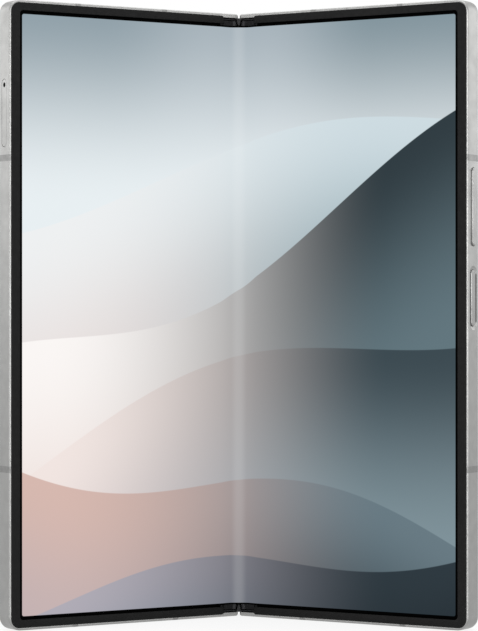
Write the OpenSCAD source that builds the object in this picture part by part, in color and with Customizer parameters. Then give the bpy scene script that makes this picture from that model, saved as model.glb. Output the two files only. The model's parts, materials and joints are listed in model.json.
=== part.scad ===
// Foldable smartphone, half open like a book and standing on its lower edges.
// Every piece is drawn in a flat frame and then folded to the pose it rests in:
//   X runs outward from the hinge line, Y runs up along the hinge, and Z runs out of the
//   inner display, whose surface is at Z = 0. The left half is drawn as a mirror image.

/* [Body] */
// Height of the phone along its hinge
body_h = 153.5; // [148:0.5:170]
// Width of one half, from the hinge line to its outer side
half_w = 66.3; // [64:0.1:76]
// Thickness of one half, without its bezel
body_t = 5.6; // [5.6:0.1:6.4]
// Radius of the outer corners
corner_r = 3.2; // [2.8:0.1:4]
// Rounding of the rail's long edges
edge_r = 0.45; // [0.3:0.05:0.5]
// Thickness of the rail beside the parts inside
rail_w = 1.3; // [1.2:0.05:1.5]
// How far each half is folded from flat in the rest pose
rest_fold = 32.2; // [20:0.1:45]

/* [Hinge] */
// Distance of each hinge axis from the hinge line
axis_x = 1.9; // [1.85:0.01:1.95]
// Space between the two display surfaces when shut
closed_gap = 0.9; // [0.9:0.02:1]
// Gap between the two halves along the hinge line when flat
halves_gap = 0.5; // [0.4:0.05:0.6]
// Thickness of the spine cover's wall
spine_wall = 0.55; // [0.45:0.05:0.6]
// Radius of the main hinge shafts
shaft_r = 0.5; // [0.4:0.05:0.55]
// Outer radius of the hinge knuckles
knuckle_r = 0.95; // [0.9:0.01:0.98]
// Length of one hinge module along the hinge
module_len = 22; // [20:0.5:26]
// Distance of each hinge module from the end of the body
module_inset = 8; // [6:0.5:12]
// Running clearance between a shaft and the part that turns on it
running = 0.03; // [0.02:0.01:0.05]

/* [Gears] */
// Tooth count of each hinge gear
gear_teeth = 12; // [12:2:12]
// Gear module
gear_module = 0.15; // [0.148:0.001:0.152]
// Length of the gears along the hinge
gear_len = 1.9; // [1.5:0.1:1.9]

/* [Inner display] */
// Distance from the body's ends to the visible display
display_border = 3.4; // [3.3:0.05:4]
// Thickness of the flexible display
display_t = 0.3; // [0.25:0.01:0.3]
// Height of the bezel over the display
bezel_t = 0.4; // [0.3:0.02:0.4]
// Width of the bezel at the outer side
bezel_w = 2.35; // [2.2:0.05:2.4]
// Width of the bezel at the two ends
bezel_end_w = 1.96; // [1.6:0.02:2]
// Width of the metal rim left outside the bezel
bezel_edge = 0.5; // [0.5:0.05:0.6]
// Radius of the bezel's outer corners
bezel_corner_r = 2.2; // [1.8:0.1:2.6]
// Distance from the hinge line to each bezel's end
bezel_end_x = 5.3; // [5.2:0.05:5.5]
// Distance from the hinge line to the edge of the folding zone
fold_zone = 6.1; // [6:0.05:6.2]

/* [Back panels] */
// Thickness of the back glass and of the cover display's glass
glass_t = 0.4; // [0.35:0.01:0.4]
// Rim of metal left round each back panel
glass_inset = 0.8; // [0.7:0.05:1]
// Length of the camera island
island_len = 48.8; // [44:0.2:52]
// Width of the camera island
island_w = 15.6; // [14:0.2:17]
// Height of the camera island over the back glass
island_h = 1.5; // [1:0.1:2]
// Outer radius of each lens ring
lens_ring_r = 6.1; // [5.5:0.1:6.4]
// Distance between neighbouring lenses
lens_pitch = 15.2; // [14:0.1:16]

/* [Keys and tray] */
// Height of the volume key's middle over the middle of the body
volume_up = 26.35; // [24:0.05:28]
// Length of the volume key
volume_len = 19.1; // [16:0.1:22]
// Width of the volume key
volume_w = 2; // [1.8:0.05:2.2]
// How far the volume key stands out of the rail
volume_proud = 0.45; // [0.3:0.05:0.6]
// Height of the power key's middle over the middle of the body
power_up = 4.15; // [2:0.05:5]
// Length of the power key
power_len = 13.7; // [12:0.1:15]
// Width of the power key
power_w = 2.4; // [2.2:0.05:2.6]
// Height of the card tray's middle over the middle of the body
tray_up = 49.2; // [46:0.1:51]
// Length of the card tray's face
tray_len = 16.4; // [15:0.1:18]
// Width of the card tray's face
tray_w = 2.4; // [2:0.05:2.6]
// Clearance between a key or tray and its slot
slot_gap = 0.1; // [0.06:0.01:0.15]

/* [Sockets and holes] */
// Distance of the charging socket from the hinge line
usb_x = 33; // [31:0.5:36]
// Inner width of the charging socket
usb_w = 8.34; // [8.3:0.02:8.4]
// Inner height of the charging socket
usb_h = 2.56; // [2.5:0.02:2.6]
// Radius of the speaker holes
speaker_hole_r = 0.55; // [0.4:0.05:0.6]
// Number of holes in each speaker row
speaker_holes = 7; // [5:1:7]
// Distance of each speaker's middle from the outer side
speaker_inset = 11.3; // [10.9:0.1:11.3]
// Radius of the microphone holes
mic_r = 0.45; // [0.3:0.05:0.5]

/* [Hidden] */
$fn = 48;

eps = 0.01;
fit = 0.05;
far = 400;

// Hinge section: the axes, the spine's shells and the room the halves leave for it
axis_z = -(axis_x - closed_gap / 2);
lip_t = glass_t + 0.25;
lip_rim = 0.7;
spine_gap = 0.1;
spine_r = body_t + axis_z - lip_t - spine_gap;
spine_inner_r = spine_r - spine_wall;
spine_top_z = axis_z - 0.85;
clear_r = spine_r + spine_gap;
end_gap = 0.1;
hinge_rail_t = 1;
spine_y0 = hinge_rail_t + end_gap;
rail_end_r = axis_x - halves_gap / 2;
cap_end_r = rail_end_r - 0.3;
cap_gap = 0.07;
cap_top = -0.12;
cap_step_z = -0.45;
cap_y0 = hinge_rail_t + 0.15;
cap_step_y = hinge_rail_t + 0.75;
plug_z = cap_top;
plug_t = 0.38;
plug_w = 0.48;
plug_foot_r = 0.27;
plug_web = 0.24;
plug_gap = 0.25;
plug_flange_t = 0.27;
plug_shoulder = 0.2;
block_screw_r = 0.48;
block_screw_z = axis_z - spine_inner_r - 0.3;
block_head_z = axis_z - 2;
hinge_wall_x = fold_zone + 0.9;

// Layers under the inner display
backing_t = 0.25;
plate_top = -(display_t + backing_t + fit);
plate_t = 0.6;
cavity_top = plate_top - plate_t;
shelf = 1.9;
display_x1 = half_w - shelf - fit;
bezel_inner_y = display_border - 0.8;
bezel_outer_y = bezel_inner_y - bezel_end_w;
display_y0 = bezel_inner_y - 0.4;
fold_end_y = display_border - 0.32;
end_round = 0.45;
inner_round = 0.9;

// The room for the parts inside each half
back_z = -body_t + glass_t;
cavity_x0 = hinge_wall_x + 0.4;
cavity_x1 = half_w - rail_w;
cavity_y0 = 1.5;
ledge = 0.9;
mid_z = -body_t / 2;
inner_r = corner_r - rail_w;

// Gears: four equal ones in mesh, the two idlers lower than the arm gears
pitch_r = gear_module * gear_teeth / 2;
tip_r = pitch_r + 0.85 * gear_module;
root_r = pitch_r - 1.15 * gear_module;
idler_x = pitch_r;
idler_dx = axis_x - idler_x;
idler_z = axis_z - sqrt(4 * pitch_r * pitch_r - idler_dx * idler_dx);
idler_pin_r = 0.35;
idler_hub_r = 0.6;
tooth_pitch = 360 / gear_teeth;

// Stations along one hinge module, counted inward from its outer end
block_plate = 2;
knuckle_len = 2;
knuckle_s = block_plate + 0.1;
gear_s = knuckle_s + knuckle_len;
second_plate_s = gear_s + gear_len + 0.15;
second_knuckle_s = second_plate_s + block_plate + 0.1;
washer_s = second_knuckle_s + knuckle_len + fit;
last_plate_s = module_len - block_plate;
washer_t = 0.3;
washer_count = 4;
spring_s = washer_s + washer_count * washer_t + fit;
spring_count = 12;
spring_pitch = (last_plate_s - spring_s) / spring_count;

// Hinge arms
arm_top = axis_z - 0.1;
arm_t = 0.65;
arm_tab_x1 = 14;
arm_tab_len = 11;

// Wing plates that carry the display's folding zone
wing_top = -display_t - fit;
wing_t = 0.25;
wing_x0 = 0.35;
wing_pin_x = fold_zone - 0.1;
wing_pin_z = wing_top - 0.5;
wing_pin_r = 0.15;
wing_barrel_r = 0.28;
wing_ratio = 0.3;
wing_pin_y0 = display_y0 + 0.4;
wing_y0 = display_y0 + 2;
wing_cut_x = 4.4;
wing_cut_gap = 0.6;
boss_y1 = wing_y0 - 0.2;

// Features on the outer sides, measured from the middle of the height
mid_y = body_h / 2;
volume_y = mid_y + volume_up;
power_y = mid_y + power_up;
power_pocket_w = power_w + 1.3;
power_pocket_end = 0.35;
power_pocket_depth = 0.3;
power_face_depth = 0.02;
tray_y = mid_y + tray_up;
tray_depth = 18.5;
tray_hole_inset = 1.35;
tray_hole_r = 0.6;
side_band_ups = [-37.55, 38.25];
band_w = 1.6;
band_depth = 1;
top_band_x = [22.6, half_w - 19];
bottom_band_x = [19.4, half_w - 18.2];
key_travel = 0.2;
key_flange_t = 0.6;
switch_t = 0.35;
key_rib_t = 0.7;
key_rib_end = 1.5;
key_rib_x = cavity_x1 - 0.2 - key_flange_t - key_travel - switch_t - fit;

left_mic_x = 29;
right_top_mic_x = 34;
usb_wall = 0.3;
usb_len = 7.5;
speaker_x = half_w - speaker_inset;
speaker_hole_pitch = 1.7;
speaker_w = 16;
speaker_len = 11;
mesh_t = 0.2;
mesh_y = 0.35;
cover_x = (half_w + halves_gap / 2) / 2;
cover_camera_y = body_h - 7;
cover_camera_r = 1.7;
earpiece_w = 9;
earpiece_slot = 0.5;
panel_t = 0.4;
island_x = half_w - 12.2;
island_y1 = body_h - 7.6;
island_y = island_y1 - island_len / 2;
lens_r = lens_ring_r - 1.2;
lens_z = -body_t - island_h;
ring_h = 0.55;
flash_r = 1.9;
flash_x = island_x - island_w / 2 - 4;
flash_y = island_y + lens_pitch / 2;
udc_x = 33;
udc_y = body_h - 7.2;
udc_r = 1.9;
udc_box = 6.4;
coil_x = 39;
coil_y = 56;
coil_r0 = 8;
coil_r1 = 18.5;
coil_pitch = 1.5;
coil_wire_w = 1.2;
coil_wire_t = 0.35;
tray_x0 = half_w - tray_depth;
board_x0 = arm_tab_x1 + 1.5;
board_end_gap = 14;
board_y1 = body_h - board_end_gap;
board_t = 0.65;
can_t = 1.35;
sub_board_len = 39;
sub_board_y0 = board_y1 - sub_board_len;
sub_board_gap = 3.8;
sub_board_x1 = tray_x0 - sub_board_gap;
main_board_up = 15;
main_board_y0 = mid_y + main_board_up;
main_board_gap = 7;
main_board_x1 = island_x - main_board_gap;
part_gap = 3;
battery_y0 = 19;
battery_r = 1.2;
haptic_len = 13;
haptic_w = 7;
flex_w = 30;
flex_t = 0.15;
usb_mics_x = [usb_x - 10, usb_x + 8.5];
usb_tongue_w = 6.6;
usb_tongue_t = 0.7;
arm_screw_r = 0.57;
arm_head_r = 1.1;

// The rest pose: the bounding box's centre comes to Y = 0
function folded(x, z, angle) = [
    axis_x + (x - axis_x) * cos(angle) - (z - axis_z) * sin(angle),
    axis_z + (x - axis_x) * sin(angle) + (z - axis_z) * cos(angle)];
bezel_corner = folded(half_w - bezel_edge, bezel_t, rest_fold);
lip_corner = folded(halves_gap / 2, -body_t, rest_fold);
stand_y = (bezel_corner[1] + lip_corner[1]) / 2;

function smooth(t) = t * t * (3 - 2 * t);

// ---------------------------------------------------------------- placing

module stand() translate([0, stand_y, 0]) rotate([90, 0, 0]) children();

module fold_half(angle)
    translate([axis_x, 0, axis_z]) rotate([0, -angle, 0]) translate([-axis_x, 0, -axis_z])
        children();

module right_half() stand() fold_half(rest_fold) children();

module left_half() stand() mirror([1, 0, 0]) fold_half(rest_fold) children();

module wing_pose()
    translate([wing_pin_x, 0, wing_pin_z]) rotate([0, -wing_ratio * rest_fold, 0])
        translate([-wing_pin_x, 0, -wing_pin_z]) children();

module both_ends() {
    children();
    translate([0, body_h, 0]) mirror([0, 1, 0]) children();
}

module both_sides() {
    children();
    mirror([1, 0, 0]) children();
}

// ---------------------------------------------------------------- shared shapes

// A box from its lowest to its highest corner
module span(low, high) translate(low) cube(high - low);

// A cross-section in X and Z, carried along Y from y0 to y1
module along_y(y0, y1) translate([0, y1, 0]) rotate([90, 0, 0]) linear_extrude(y1 - y0) children();

// A cross-section in X and Z of a hinge module, between two stations of the upper module
module station(s0, s1) along_y(body_h - module_inset - s1, body_h - module_inset - s0) children();

// An outline in X and Y, carried along Z from z0 to z1
module along_z(z0, z1) translate([0, 0, z0]) linear_extrude(z1 - z0) children();

// An outline in Y and Z, carried along X from x0 to x1
module along_x(x0, x1) translate([x0, 0, 0]) rotate([90, 0, 90]) linear_extrude(x1 - x0) children();

// A rectangle with its two outer corners rounded
module outer_rounded(x0, x1, y0, y1, r) {
    translate([x0, y0]) square([x1 - x0 - r, y1 - y0]);
    translate([x1 - r - eps, y0 + r]) square([r + eps, y1 - y0 - 2 * r]);
    for (y = [y0 + r, y1 - r]) translate([x1 - r, y]) circle(r);
}

// A rectangle with all four corners rounded
module rounded(x0, x1, y0, y1, r) {
    translate([x0 + r, y0]) square([x1 - x0 - 2 * r, y1 - y0]);
    translate([x0, y0 + r]) square([x1 - x0, y1 - y0 - 2 * r]);
    for (x = [x0 + r, x1 - r], y = [y0 + r, y1 - r]) translate([x, y]) circle(r);
}

// A slot with round ends, its length along the first axis
module stadium(len, w) {
    square([len - w, w], center = true);
    for (s = [-1, 1]) translate([s * (len - w) / 2, 0]) circle(w / 2);
}

// A slot lying in a side wall, its length up the hinge, between two X positions
module side_slot(y, z, len, w, x0, x1) along_x(x0, x1) translate([y, z]) stadium(len, w);

// The rail's section: square inside, with both outer edges rounded
module rail_section() {
    square([corner_r - edge_r, body_t]);
    translate([0, edge_r]) square([corner_r, body_t - 2 * edge_r]);
    for (y = [edge_r, body_t - edge_r]) translate([corner_r - edge_r, y]) circle(edge_r);
}

// One solid half body, edges rounded on its three outer sides. The slab reaches into its rails
// and corners, so they are one solid at any size.
module half_slab() {
    x0 = halves_gap / 2;
    xc = half_w - corner_r;
    reach = corner_r - 2 * edge_r;
    translate([0, 0, -body_t]) {
        translate([x0, corner_r, 0]) cube([xc + reach - x0, body_h - 2 * corner_r, body_t]);
        translate([x0, corner_r - reach, 0]) cube([xc - x0, body_h - 2 * (corner_r - reach), body_t]);
        for (y = [corner_r, body_h - corner_r]) translate([xc, y, 0]) cylinder(r = reach / 2, h = body_t);
        translate([xc, body_h - corner_r, 0]) rotate([90, 0, 0])
            linear_extrude(body_h - 2 * corner_r) rail_section();
        both_ends() translate([x0, corner_r, 0]) rotate([90, 0, 90]) mirror([1, 0, 0])
            linear_extrude(xc - x0) rail_section();
        translate([xc, body_h - corner_r, 0]) rotate_extrude(angle = 90) rail_section();
        translate([xc, corner_r, 0]) rotate([0, 0, -90]) rotate_extrude(angle = 90) rail_section();
    }
}

// ---------------------------------------------------------------- spine

// The spine's outer form for a given radius about both hinge axes
module spine_form(r) {
    for (s = [-1, 1]) translate([s * axis_x, axis_z]) circle(r);
    translate([-axis_x, axis_z - r]) square([2 * axis_x, 2 * r]);
}

module below(z) translate([-far / 2, z - far]) square([far, far]);

module spine_cover() color("silver") difference() {
    along_y(spine_y0, body_h - spine_y0) difference() {
        intersection() {
            spine_form(spine_r);
            below(spine_top_z);
        }
        spine_form(spine_inner_r);
    }
    both_ends() block_screw_places() translate([0, 0, block_screw_z - fit])
        cylinder(r = block_screw_r + fit, h = 1);
}

// The T-shaped plug seen between the two fold caps: hollow shoulders, and a stem that narrows to a
// round foot, its sides just touching the foot's circle
module plug_outline() {
    foot_y = fold_end_y - plug_gap - plug_foot_r;
    shoulder_y = spine_y0 + plug_flange_t + plug_shoulder;
    stem = foot_y - shoulder_y;
    turn = acos(plug_foot_r / norm([plug_w, stem])) - atan2(stem, plug_w);
    touch = plug_foot_r * [cos(turn), sin(turn)];
    translate([-plug_w, spine_y0]) square([2 * plug_w, shoulder_y - spine_y0]);
    polygon([[-plug_w, shoulder_y], [plug_w, shoulder_y], [touch[0], foot_y + touch[1]],
             [-touch[0], foot_y + touch[1]]]);
    translate([0, foot_y]) circle(plug_foot_r);
    difference() {
        translate([-plug_w - plug_shoulder, spine_y0])
            square([2 * (plug_w + plug_shoulder), plug_flange_t + plug_shoulder]);
        for (s = [-1, 1]) translate([s * (plug_w + plug_shoulder), shoulder_y]) circle(plug_shoulder);
    }
}

// Each plug is carried by a web that reaches up from a saddle in the spine cover
module spine_end_caps() color("dimgray") both_ends() {
    along_z(plug_z - plug_t, plug_z) plug_outline();
    difference() {
        along_y(spine_y0, fold_end_y - fit) union() {
            translate([-plug_web, axis_z]) square([2 * plug_web, plug_z - plug_t - axis_z + eps]);
            intersection() {
                spine_form(spine_inner_r - fit);
                below(spine_top_z);
            }
            translate([-plug_web, spine_top_z - eps]) square([2 * plug_web, axis_z - spine_top_z + 2 * eps]);
        }
        both_sides() translate([axis_x, 0, axis_z]) rotate([-90, 0, 0])
            cylinder(r = cap_end_r + cap_gap, h = body_h);
    }
}

// ---------------------------------------------------------------- hinge modules

// The block's section where it carries the shafts
module block_plate_section() {
    difference() {
        union() {
            intersection() {
                spine_form(spine_inner_r - fit);
                below(spine_top_z);
            }
            for (s = [-1, 1]) translate([s * axis_x, axis_z]) {
                circle(knuckle_r);
                translate([-knuckle_r, -1.2]) square([2 * knuckle_r, 1.2]);
            }
        }
        for (s = [-1, 1]) {
            translate([s * axis_x, axis_z]) circle(shaft_r + 0.02);
            translate([s * idler_x, idler_z]) circle(idler_pin_r + 0.02);
        }
    }
}

// The block's section beside the parts that turn: only its outer walls
module block_wall_section() intersection() {
    spine_form(spine_inner_r - fit);
    below(spine_top_z - 0.1);
    for (s = [-1, 1]) translate([s * (axis_x + 2.1), -body_t]) square([2, body_t * 2], center = true);
}

// The block's section under the friction pack: a solid floor
module block_floor_section() intersection() {
    spine_form(spine_inner_r - fit);
    below(axis_z - knuckle_r - 0.15);
}

module block_screw_places()
    for (s = [second_knuckle_s + 4.5, last_plate_s - 2.5])
        translate([0, module_inset + s, 0]) children();

module hinge_blocks() color("gray") both_ends() difference() {
    union() {
        station(0, block_plate) block_plate_section();
        station(block_plate - eps, second_plate_s + eps) block_wall_section();
        station(second_plate_s, second_plate_s + block_plate) block_plate_section();
        station(second_plate_s + block_plate - eps, last_plate_s + eps) block_floor_section();
        station(last_plate_s, module_len) block_plate_section();
    }
    translate([0, body_h, 0]) mirror([0, 1, 0]) block_screw_places() {
        translate([0, 0, -body_t]) cylinder(r = block_screw_r + fit, h = body_t);
        translate([0, 0, block_head_z]) cylinder(r = 0.95, h = 2);
    }
}

module hinge_block_screws() color("darkslategray") both_ends() block_screw_places() difference() {
    union() {
        translate([0, 0, block_screw_z]) cylinder(r = block_screw_r, h = block_head_z - block_screw_z + 0.2);
        translate([0, 0, block_head_z]) cylinder(r = 0.85, h = 0.4);
    }
    translate([0, 0, block_head_z + 0.2]) cylinder(r = 0.3, h = 1, $fn = 6);
}

module on_shafts() both_ends() both_sides() translate([axis_x, 0, axis_z]) children();

// A round part of the upper module on the shaft's axis, between two stations
module turned(s0, s1, r) {
    y1 = body_h - module_inset - s0;
    translate([0, y1, 0]) rotate([90, 0, 0]) cylinder(r = r, h = s1 - s0);
}

module hinge_shafts() color("lightgray") on_shafts() turned(-0.3, module_len + 0.3, shaft_r);

module idler_pins() color("lightgray") both_ends() both_sides() translate([idler_x, 0, idler_z])
    turned(0, second_plate_s + block_plate - fit, idler_pin_r);

module friction_washers() color("goldenrod") on_shafts() for (i = [0:washer_count - 1]) {
    s = washer_s + i * washer_t;
    difference() {
        turned(s, s + washer_t - 0.04, knuckle_r - fit);
        turned(s - 1, s + 1, shaft_r + running);
    }
}

// Disc springs stacked in pairs, each a shallow cone
module disc_springs() color("lightslategray") on_shafts() for (i = [0:spring_count - 1]) {
    s = spring_s + i * spring_pitch;
    lean = spring_pitch - 0.28;
    up = i % 2;
    translate([0, body_h - module_inset - s - 0.02, 0]) rotate([90, 0, 0]) difference() {
        translate([0, 0, up * (spring_pitch - 0.06)]) mirror([0, 0, up])
            cylinder(r1 = knuckle_r - fit, r2 = shaft_r + running + 0.1, h = lean + 0.2);
        translate([0, 0, up * (spring_pitch - 0.06)]) mirror([0, 0, up]) translate([0, 0, -0.2])
            cylinder(r1 = knuckle_r - fit, r2 = shaft_r + running + 0.1, h = lean + 0.2);
        translate([0, 0, -1]) cylinder(r = shaft_r + running, h = 3);
    }
}

// Gear section: straight-flanked teeth, the first one centred at angle phase
module gear_outline(phase) {
    half_tip = tooth_pitch * 0.12;
    half_root = tooth_pitch * 0.29;
    polygon([for (i = [0:gear_teeth - 1]) for (k = [
        [root_r, -half_root], [tip_r, -half_tip], [tip_r, half_tip], [root_r, half_root]])
        let (t = phase + i * tooth_pitch + k[1]) [k[0] * cos(t), k[0] * sin(t)]]);
}

// The teeth mesh when one gear's tooth centre meets the next gear's space on the line of centres
mesh_angle = atan2(idler_z - axis_z, idler_x - axis_x);

module arm_gear_section(step) difference() {
    gear_outline(mesh_angle + step - rest_fold);
    circle(shaft_r + running);
}

module arm_gears(step) color("silver") both_ends() translate([axis_x, 0, axis_z])
    translate([0, body_h - module_inset - gear_s, 0]) rotate([90, 0, 0])
        linear_extrude(gear_len) arm_gear_section(step);

module idler_gears(step) color("silver") both_ends() translate([idler_x, body_h - module_inset, idler_z]) {
    translate([0, -gear_s, 0]) rotate([90, 0, 0]) linear_extrude(gear_len) difference() {
        gear_outline(mesh_angle + 180 + tooth_pitch / 2 + step);
        circle(idler_pin_r + running);
    }
    translate([0, -knuckle_s, 0]) rotate([90, 0, 0]) difference() {
        cylinder(r = idler_hub_r, h = knuckle_len);
        translate([0, 0, -1]) cylinder(r = idler_pin_r + running, h = knuckle_len + 2);
    }
}

// One half's two arms: knuckles on the shaft and a tab screwed under the plate
module hinge_arms() color("silver") both_ends() difference() {
    union() {
        for (s = [knuckle_s, second_knuckle_s]) {
            translate([axis_x, 0, axis_z]) turned(s, s + knuckle_len, knuckle_r);
            station(s, s + knuckle_len) translate([axis_x, arm_top - arm_t])
                square([hinge_wall_x - axis_x + 1, arm_t]);
        }
        station(knuckle_s, knuckle_s + arm_tab_len) {
            translate([hinge_wall_x + 0.5, arm_top - arm_t])
                square([arm_tab_x1 - hinge_wall_x - 0.5, arm_t]);
            translate([hinge_wall_x + 0.5, arm_top - arm_t])
                square([arm_tab_x1 - hinge_wall_x - 0.5, cavity_top - arm_top + arm_t]);
        }
    }
    translate([axis_x, 0, axis_z]) turned(-1, module_len + 1, shaft_r + running);
    arm_screw_places() translate([0, 0, -body_t]) cylinder(r = arm_screw_r + running, h = body_t);
}

module arm_screw_places() for (s = [knuckle_s + 2.5, knuckle_s + arm_tab_len - 2.5])
    translate([arm_tab_x1 - 3, body_h - module_inset - s, 0]) children();

module arm_screws() color("gray") both_ends() arm_screw_places() difference() {
    union() {
        translate([0, 0, arm_top - arm_t]) cylinder(r = arm_screw_r, h = plate_top - arm_top + arm_t - 0.1);
        translate([0, 0, arm_top - arm_t - 0.4]) cylinder(r = arm_head_r, h = 0.4);
    }
    translate([0, 0, arm_top - arm_t - 1]) cylinder(r = 0.4, h = 1.2, $fn = 6);
}

// ---------------------------------------------------------------- wing plates

module wing_axis() translate([wing_pin_x, 0, wing_pin_z]) rotate([-90, 0, 0]) children();

module wing_plate() color("lightsteelblue") wing_pose() difference() {
    union() {
        span([wing_x0, wing_y0, wing_top - wing_t], [wing_pin_x, body_h - wing_y0, wing_top]);
        wing_axis() translate([0, 0, wing_y0]) cylinder(r = wing_barrel_r, h = body_h - 2 * wing_y0);
        span([wing_pin_x - wing_barrel_r, wing_y0, wing_pin_z],
             [wing_pin_x, body_h - wing_y0, wing_top]);
    }
    wing_axis() cylinder(r = wing_pin_r + running, h = body_h);
    both_ends() span([0, body_h - module_inset - module_len - wing_cut_gap, -body_t],
                     [wing_cut_x, body_h - module_inset + wing_cut_gap, 1]);
}

module wing_pin() color("silver") wing_axis() translate([0, 0, wing_pin_y0])
    cylinder(r = wing_pin_r, h = body_h - 2 * wing_pin_y0);

// ---------------------------------------------------------------- frames

module side_bands() {
    for (up = side_band_ups) translate([half_w - band_depth, mid_y + up - band_w / 2, -body_t])
        cube([band_depth + 1, band_w, body_t]);
    for (x = top_band_x) translate([x - band_w / 2, body_h - band_depth, -body_t])
        cube([band_w, band_depth + 1, body_t]);
    for (x = bottom_band_x) translate([x - band_w / 2, -1, -body_t])
        cube([band_w, band_depth + 1, body_t]);
}

// The bosses that hold the wing plate's pin
module wing_bosses() both_ends() span([wing_pin_x - 0.5, hinge_rail_t - eps, -1.9],
                                      [hinge_wall_x, boss_y1, plate_top]);

module half_frame() difference() {
    union() {
        difference() {
            half_slab();
            // Inner display's pocket
            along_z(plate_top, 1) outer_rounded(fold_zone - 0.1, half_w - shelf,
                shelf, body_h - shelf, inner_r);
            // Room for the hinge between the two rails
            along_y(hinge_rail_t, body_h - hinge_rail_t) {
                translate([axis_x, axis_z]) circle(clear_r);
                translate([-1, axis_z - clear_r]) square([axis_x + 1, clear_r * 2]);
                translate([-1, spine_top_z + 0.6]) square([hinge_wall_x - 0.5 + 1, body_t]);
            }
            // Room for the parts inside, and the back panel's recess
            along_z(back_z - eps, cavity_top) outer_rounded(cavity_x0, cavity_x1 - ledge,
                cavity_y0 + ledge, body_h - cavity_y0 - ledge, 1.5);
            along_z(back_z + 0.6, cavity_top) outer_rounded(cavity_x0, cavity_x1,
                cavity_y0, body_h - cavity_y0, inner_r);
            along_z(-body_t - 1, back_z) back_panel_outline(0);
            // Round ends of the rails beside the hinge line
            both_ends() difference() {
                along_y(-1, shelf) translate([-1, axis_z]) square([axis_x + 1, body_t]);
                rail_nose();
            }
            both_ends() translate([halves_gap / 2, 0, 0]) along_z(-body_t - 1, axis_z) difference() {
                translate([-1, -1]) square(1 + edge_r);
                translate([edge_r, edge_r]) circle(edge_r);
            }
        }
        wing_bosses();
    }
    side_bands();
    wing_axis() translate([0, 0, display_y0]) cylinder(r = wing_pin_r + 0.02, h = body_h - 2 * display_y0);
    // Slots for the hinge arms and the flex cable in the hinge wall
    both_ends() for (s = [knuckle_s, second_knuckle_s]) station(s - 0.15, s + knuckle_len + 0.15)
        translate([axis_x, arm_top - arm_t - 0.12]) square([hinge_wall_x + 1 - axis_x, 2]);
    span([axis_x, mid_y - flex_w / 2 - 1, arm_top - 0.9], [cavity_x0 + 1, mid_y + flex_w / 2 + 1, arm_top]);
    both_ends() arm_screw_places() translate([0, 0, -body_t])
        cylinder(r = arm_screw_r + running, h = body_t + 1);
}

// The round end of a rail about its hinge axis, with the outer corner rounded
module rail_nose() translate([axis_x, 0, axis_z]) rotate([-90, 0, 0]) rotate_extrude() {
    square([rail_end_r - edge_r, shelf + eps]);
    translate([0, edge_r]) square([rail_end_r, shelf - edge_r + eps]);
    translate([rail_end_r - edge_r, edge_r]) circle(edge_r);
}

module left_frame() color("gainsboro") difference() {
    half_frame();
    side_slot(tray_y, mid_z, tray_len + 2 * slot_gap, tray_w + 2 * slot_gap,
        cavity_x1 - 1, half_w + 1);
    both_ends() translate([speaker_x, -1, mid_z]) rotate([-90, 0, 0]) speaker_row()
        cylinder(r = speaker_hole_r, h = cavity_y0 + 2);
    translate([left_mic_x, 0, 0]) mic_hole();
}

module speaker_row() for (i = [0:speaker_holes - 1])
    translate([(i - (speaker_holes - 1) / 2) * speaker_hole_pitch, 0, 0]) children();

module mic_hole() translate([0, -1, mid_z]) rotate([-90, 0, 0]) cylinder(r = mic_r, h = cavity_y0 + 2);

module right_frame() color("gainsboro") difference() {
    union() {
        half_frame();
        span([key_rib_x - key_rib_t, power_y - power_len / 2 - key_rib_end, back_z + ledge],
             [key_rib_x, volume_y + volume_len / 2 + key_rib_end, cavity_top + eps]);
    }
    side_slot(volume_y, mid_z, volume_len + 2 * slot_gap, volume_w + 2 * slot_gap,
        cavity_x1 - 1, half_w + 1);
    side_slot(power_y, mid_z, power_len + 2 * slot_gap, power_w + 2 * slot_gap,
        cavity_x1 - 1, half_w + 1);
    power_pocket();
    translate([usb_x, -1, mid_z]) rotate([-90, 0, 0]) linear_extrude(cavity_y0 + 2)
        stadium(usb_w + 2 * usb_wall + 2 * fit, usb_h + 2 * usb_wall + 2 * fit);
    for (x = usb_mics_x) translate([x, 0, 0]) mic_hole();
    translate([right_top_mic_x, body_h, 0]) mirror([0, 1, 0]) mic_hole();
    translate([udc_x, udc_y, mid_z]) cylinder(r = udc_r + 0.15, h = body_t);
}

// The shallow dish round the power key: flared sides between two cones
module power_pocket() {
    slot_r = power_w / 2 + slot_gap;
    slope = (power_pocket_w / 2 - slot_r) / power_pocket_depth;
    low = slot_r - slope * fit;
    high = slot_r + slope * (power_pocket_depth + 1);
    height = power_pocket_depth + fit + 1;
    run = (power_len - power_w) / 2 + power_pocket_end;
    translate([half_w - power_pocket_depth - fit, power_y, mid_z]) rotate([0, 90, 0]) {
        for (s = [-1, 1]) translate([0, s * run, 0]) cylinder(r1 = low, r2 = high, h = height);
        translate([0, run, 0]) rotate([90, 0, 0]) linear_extrude(2 * run)
            polygon([[-low, 0], [low, 0], [high, height], [-high, height]]);
    }
}

module antenna_bands() color("darkgray") difference() {
    intersection() {
        half_slab();
        side_bands();
    }
    along_z(-body_t - 1, back_z) back_panel_outline(0);
}

// ---------------------------------------------------------------- front face

// A C-shaped trim round three sides of the display, with round ends towards the hinge
module bezel() color("#262626") along_z(eps, bezel_t) difference() {
    intersection() {
        rounded(bezel_end_x, half_w - bezel_edge, bezel_outer_y, body_h - bezel_outer_y, end_round);
        outer_rounded(0, half_w - bezel_edge, bezel_outer_y, body_h - bezel_outer_y, bezel_corner_r);
    }
    rounded(-2, half_w - bezel_edge - bezel_w, bezel_inner_y, body_h - bezel_inner_y, inner_round);
}

// A cap from the bezel's end to the round nose at the hinge axis, stepped down beside the rail
module fold_caps() color("#2c2c2c") both_ends() {
    along_y(cap_y0, cap_step_y + eps) cap_section(cap_step_z);
    along_y(cap_step_y, fold_end_y - fit) cap_section(cap_top);
}

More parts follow.
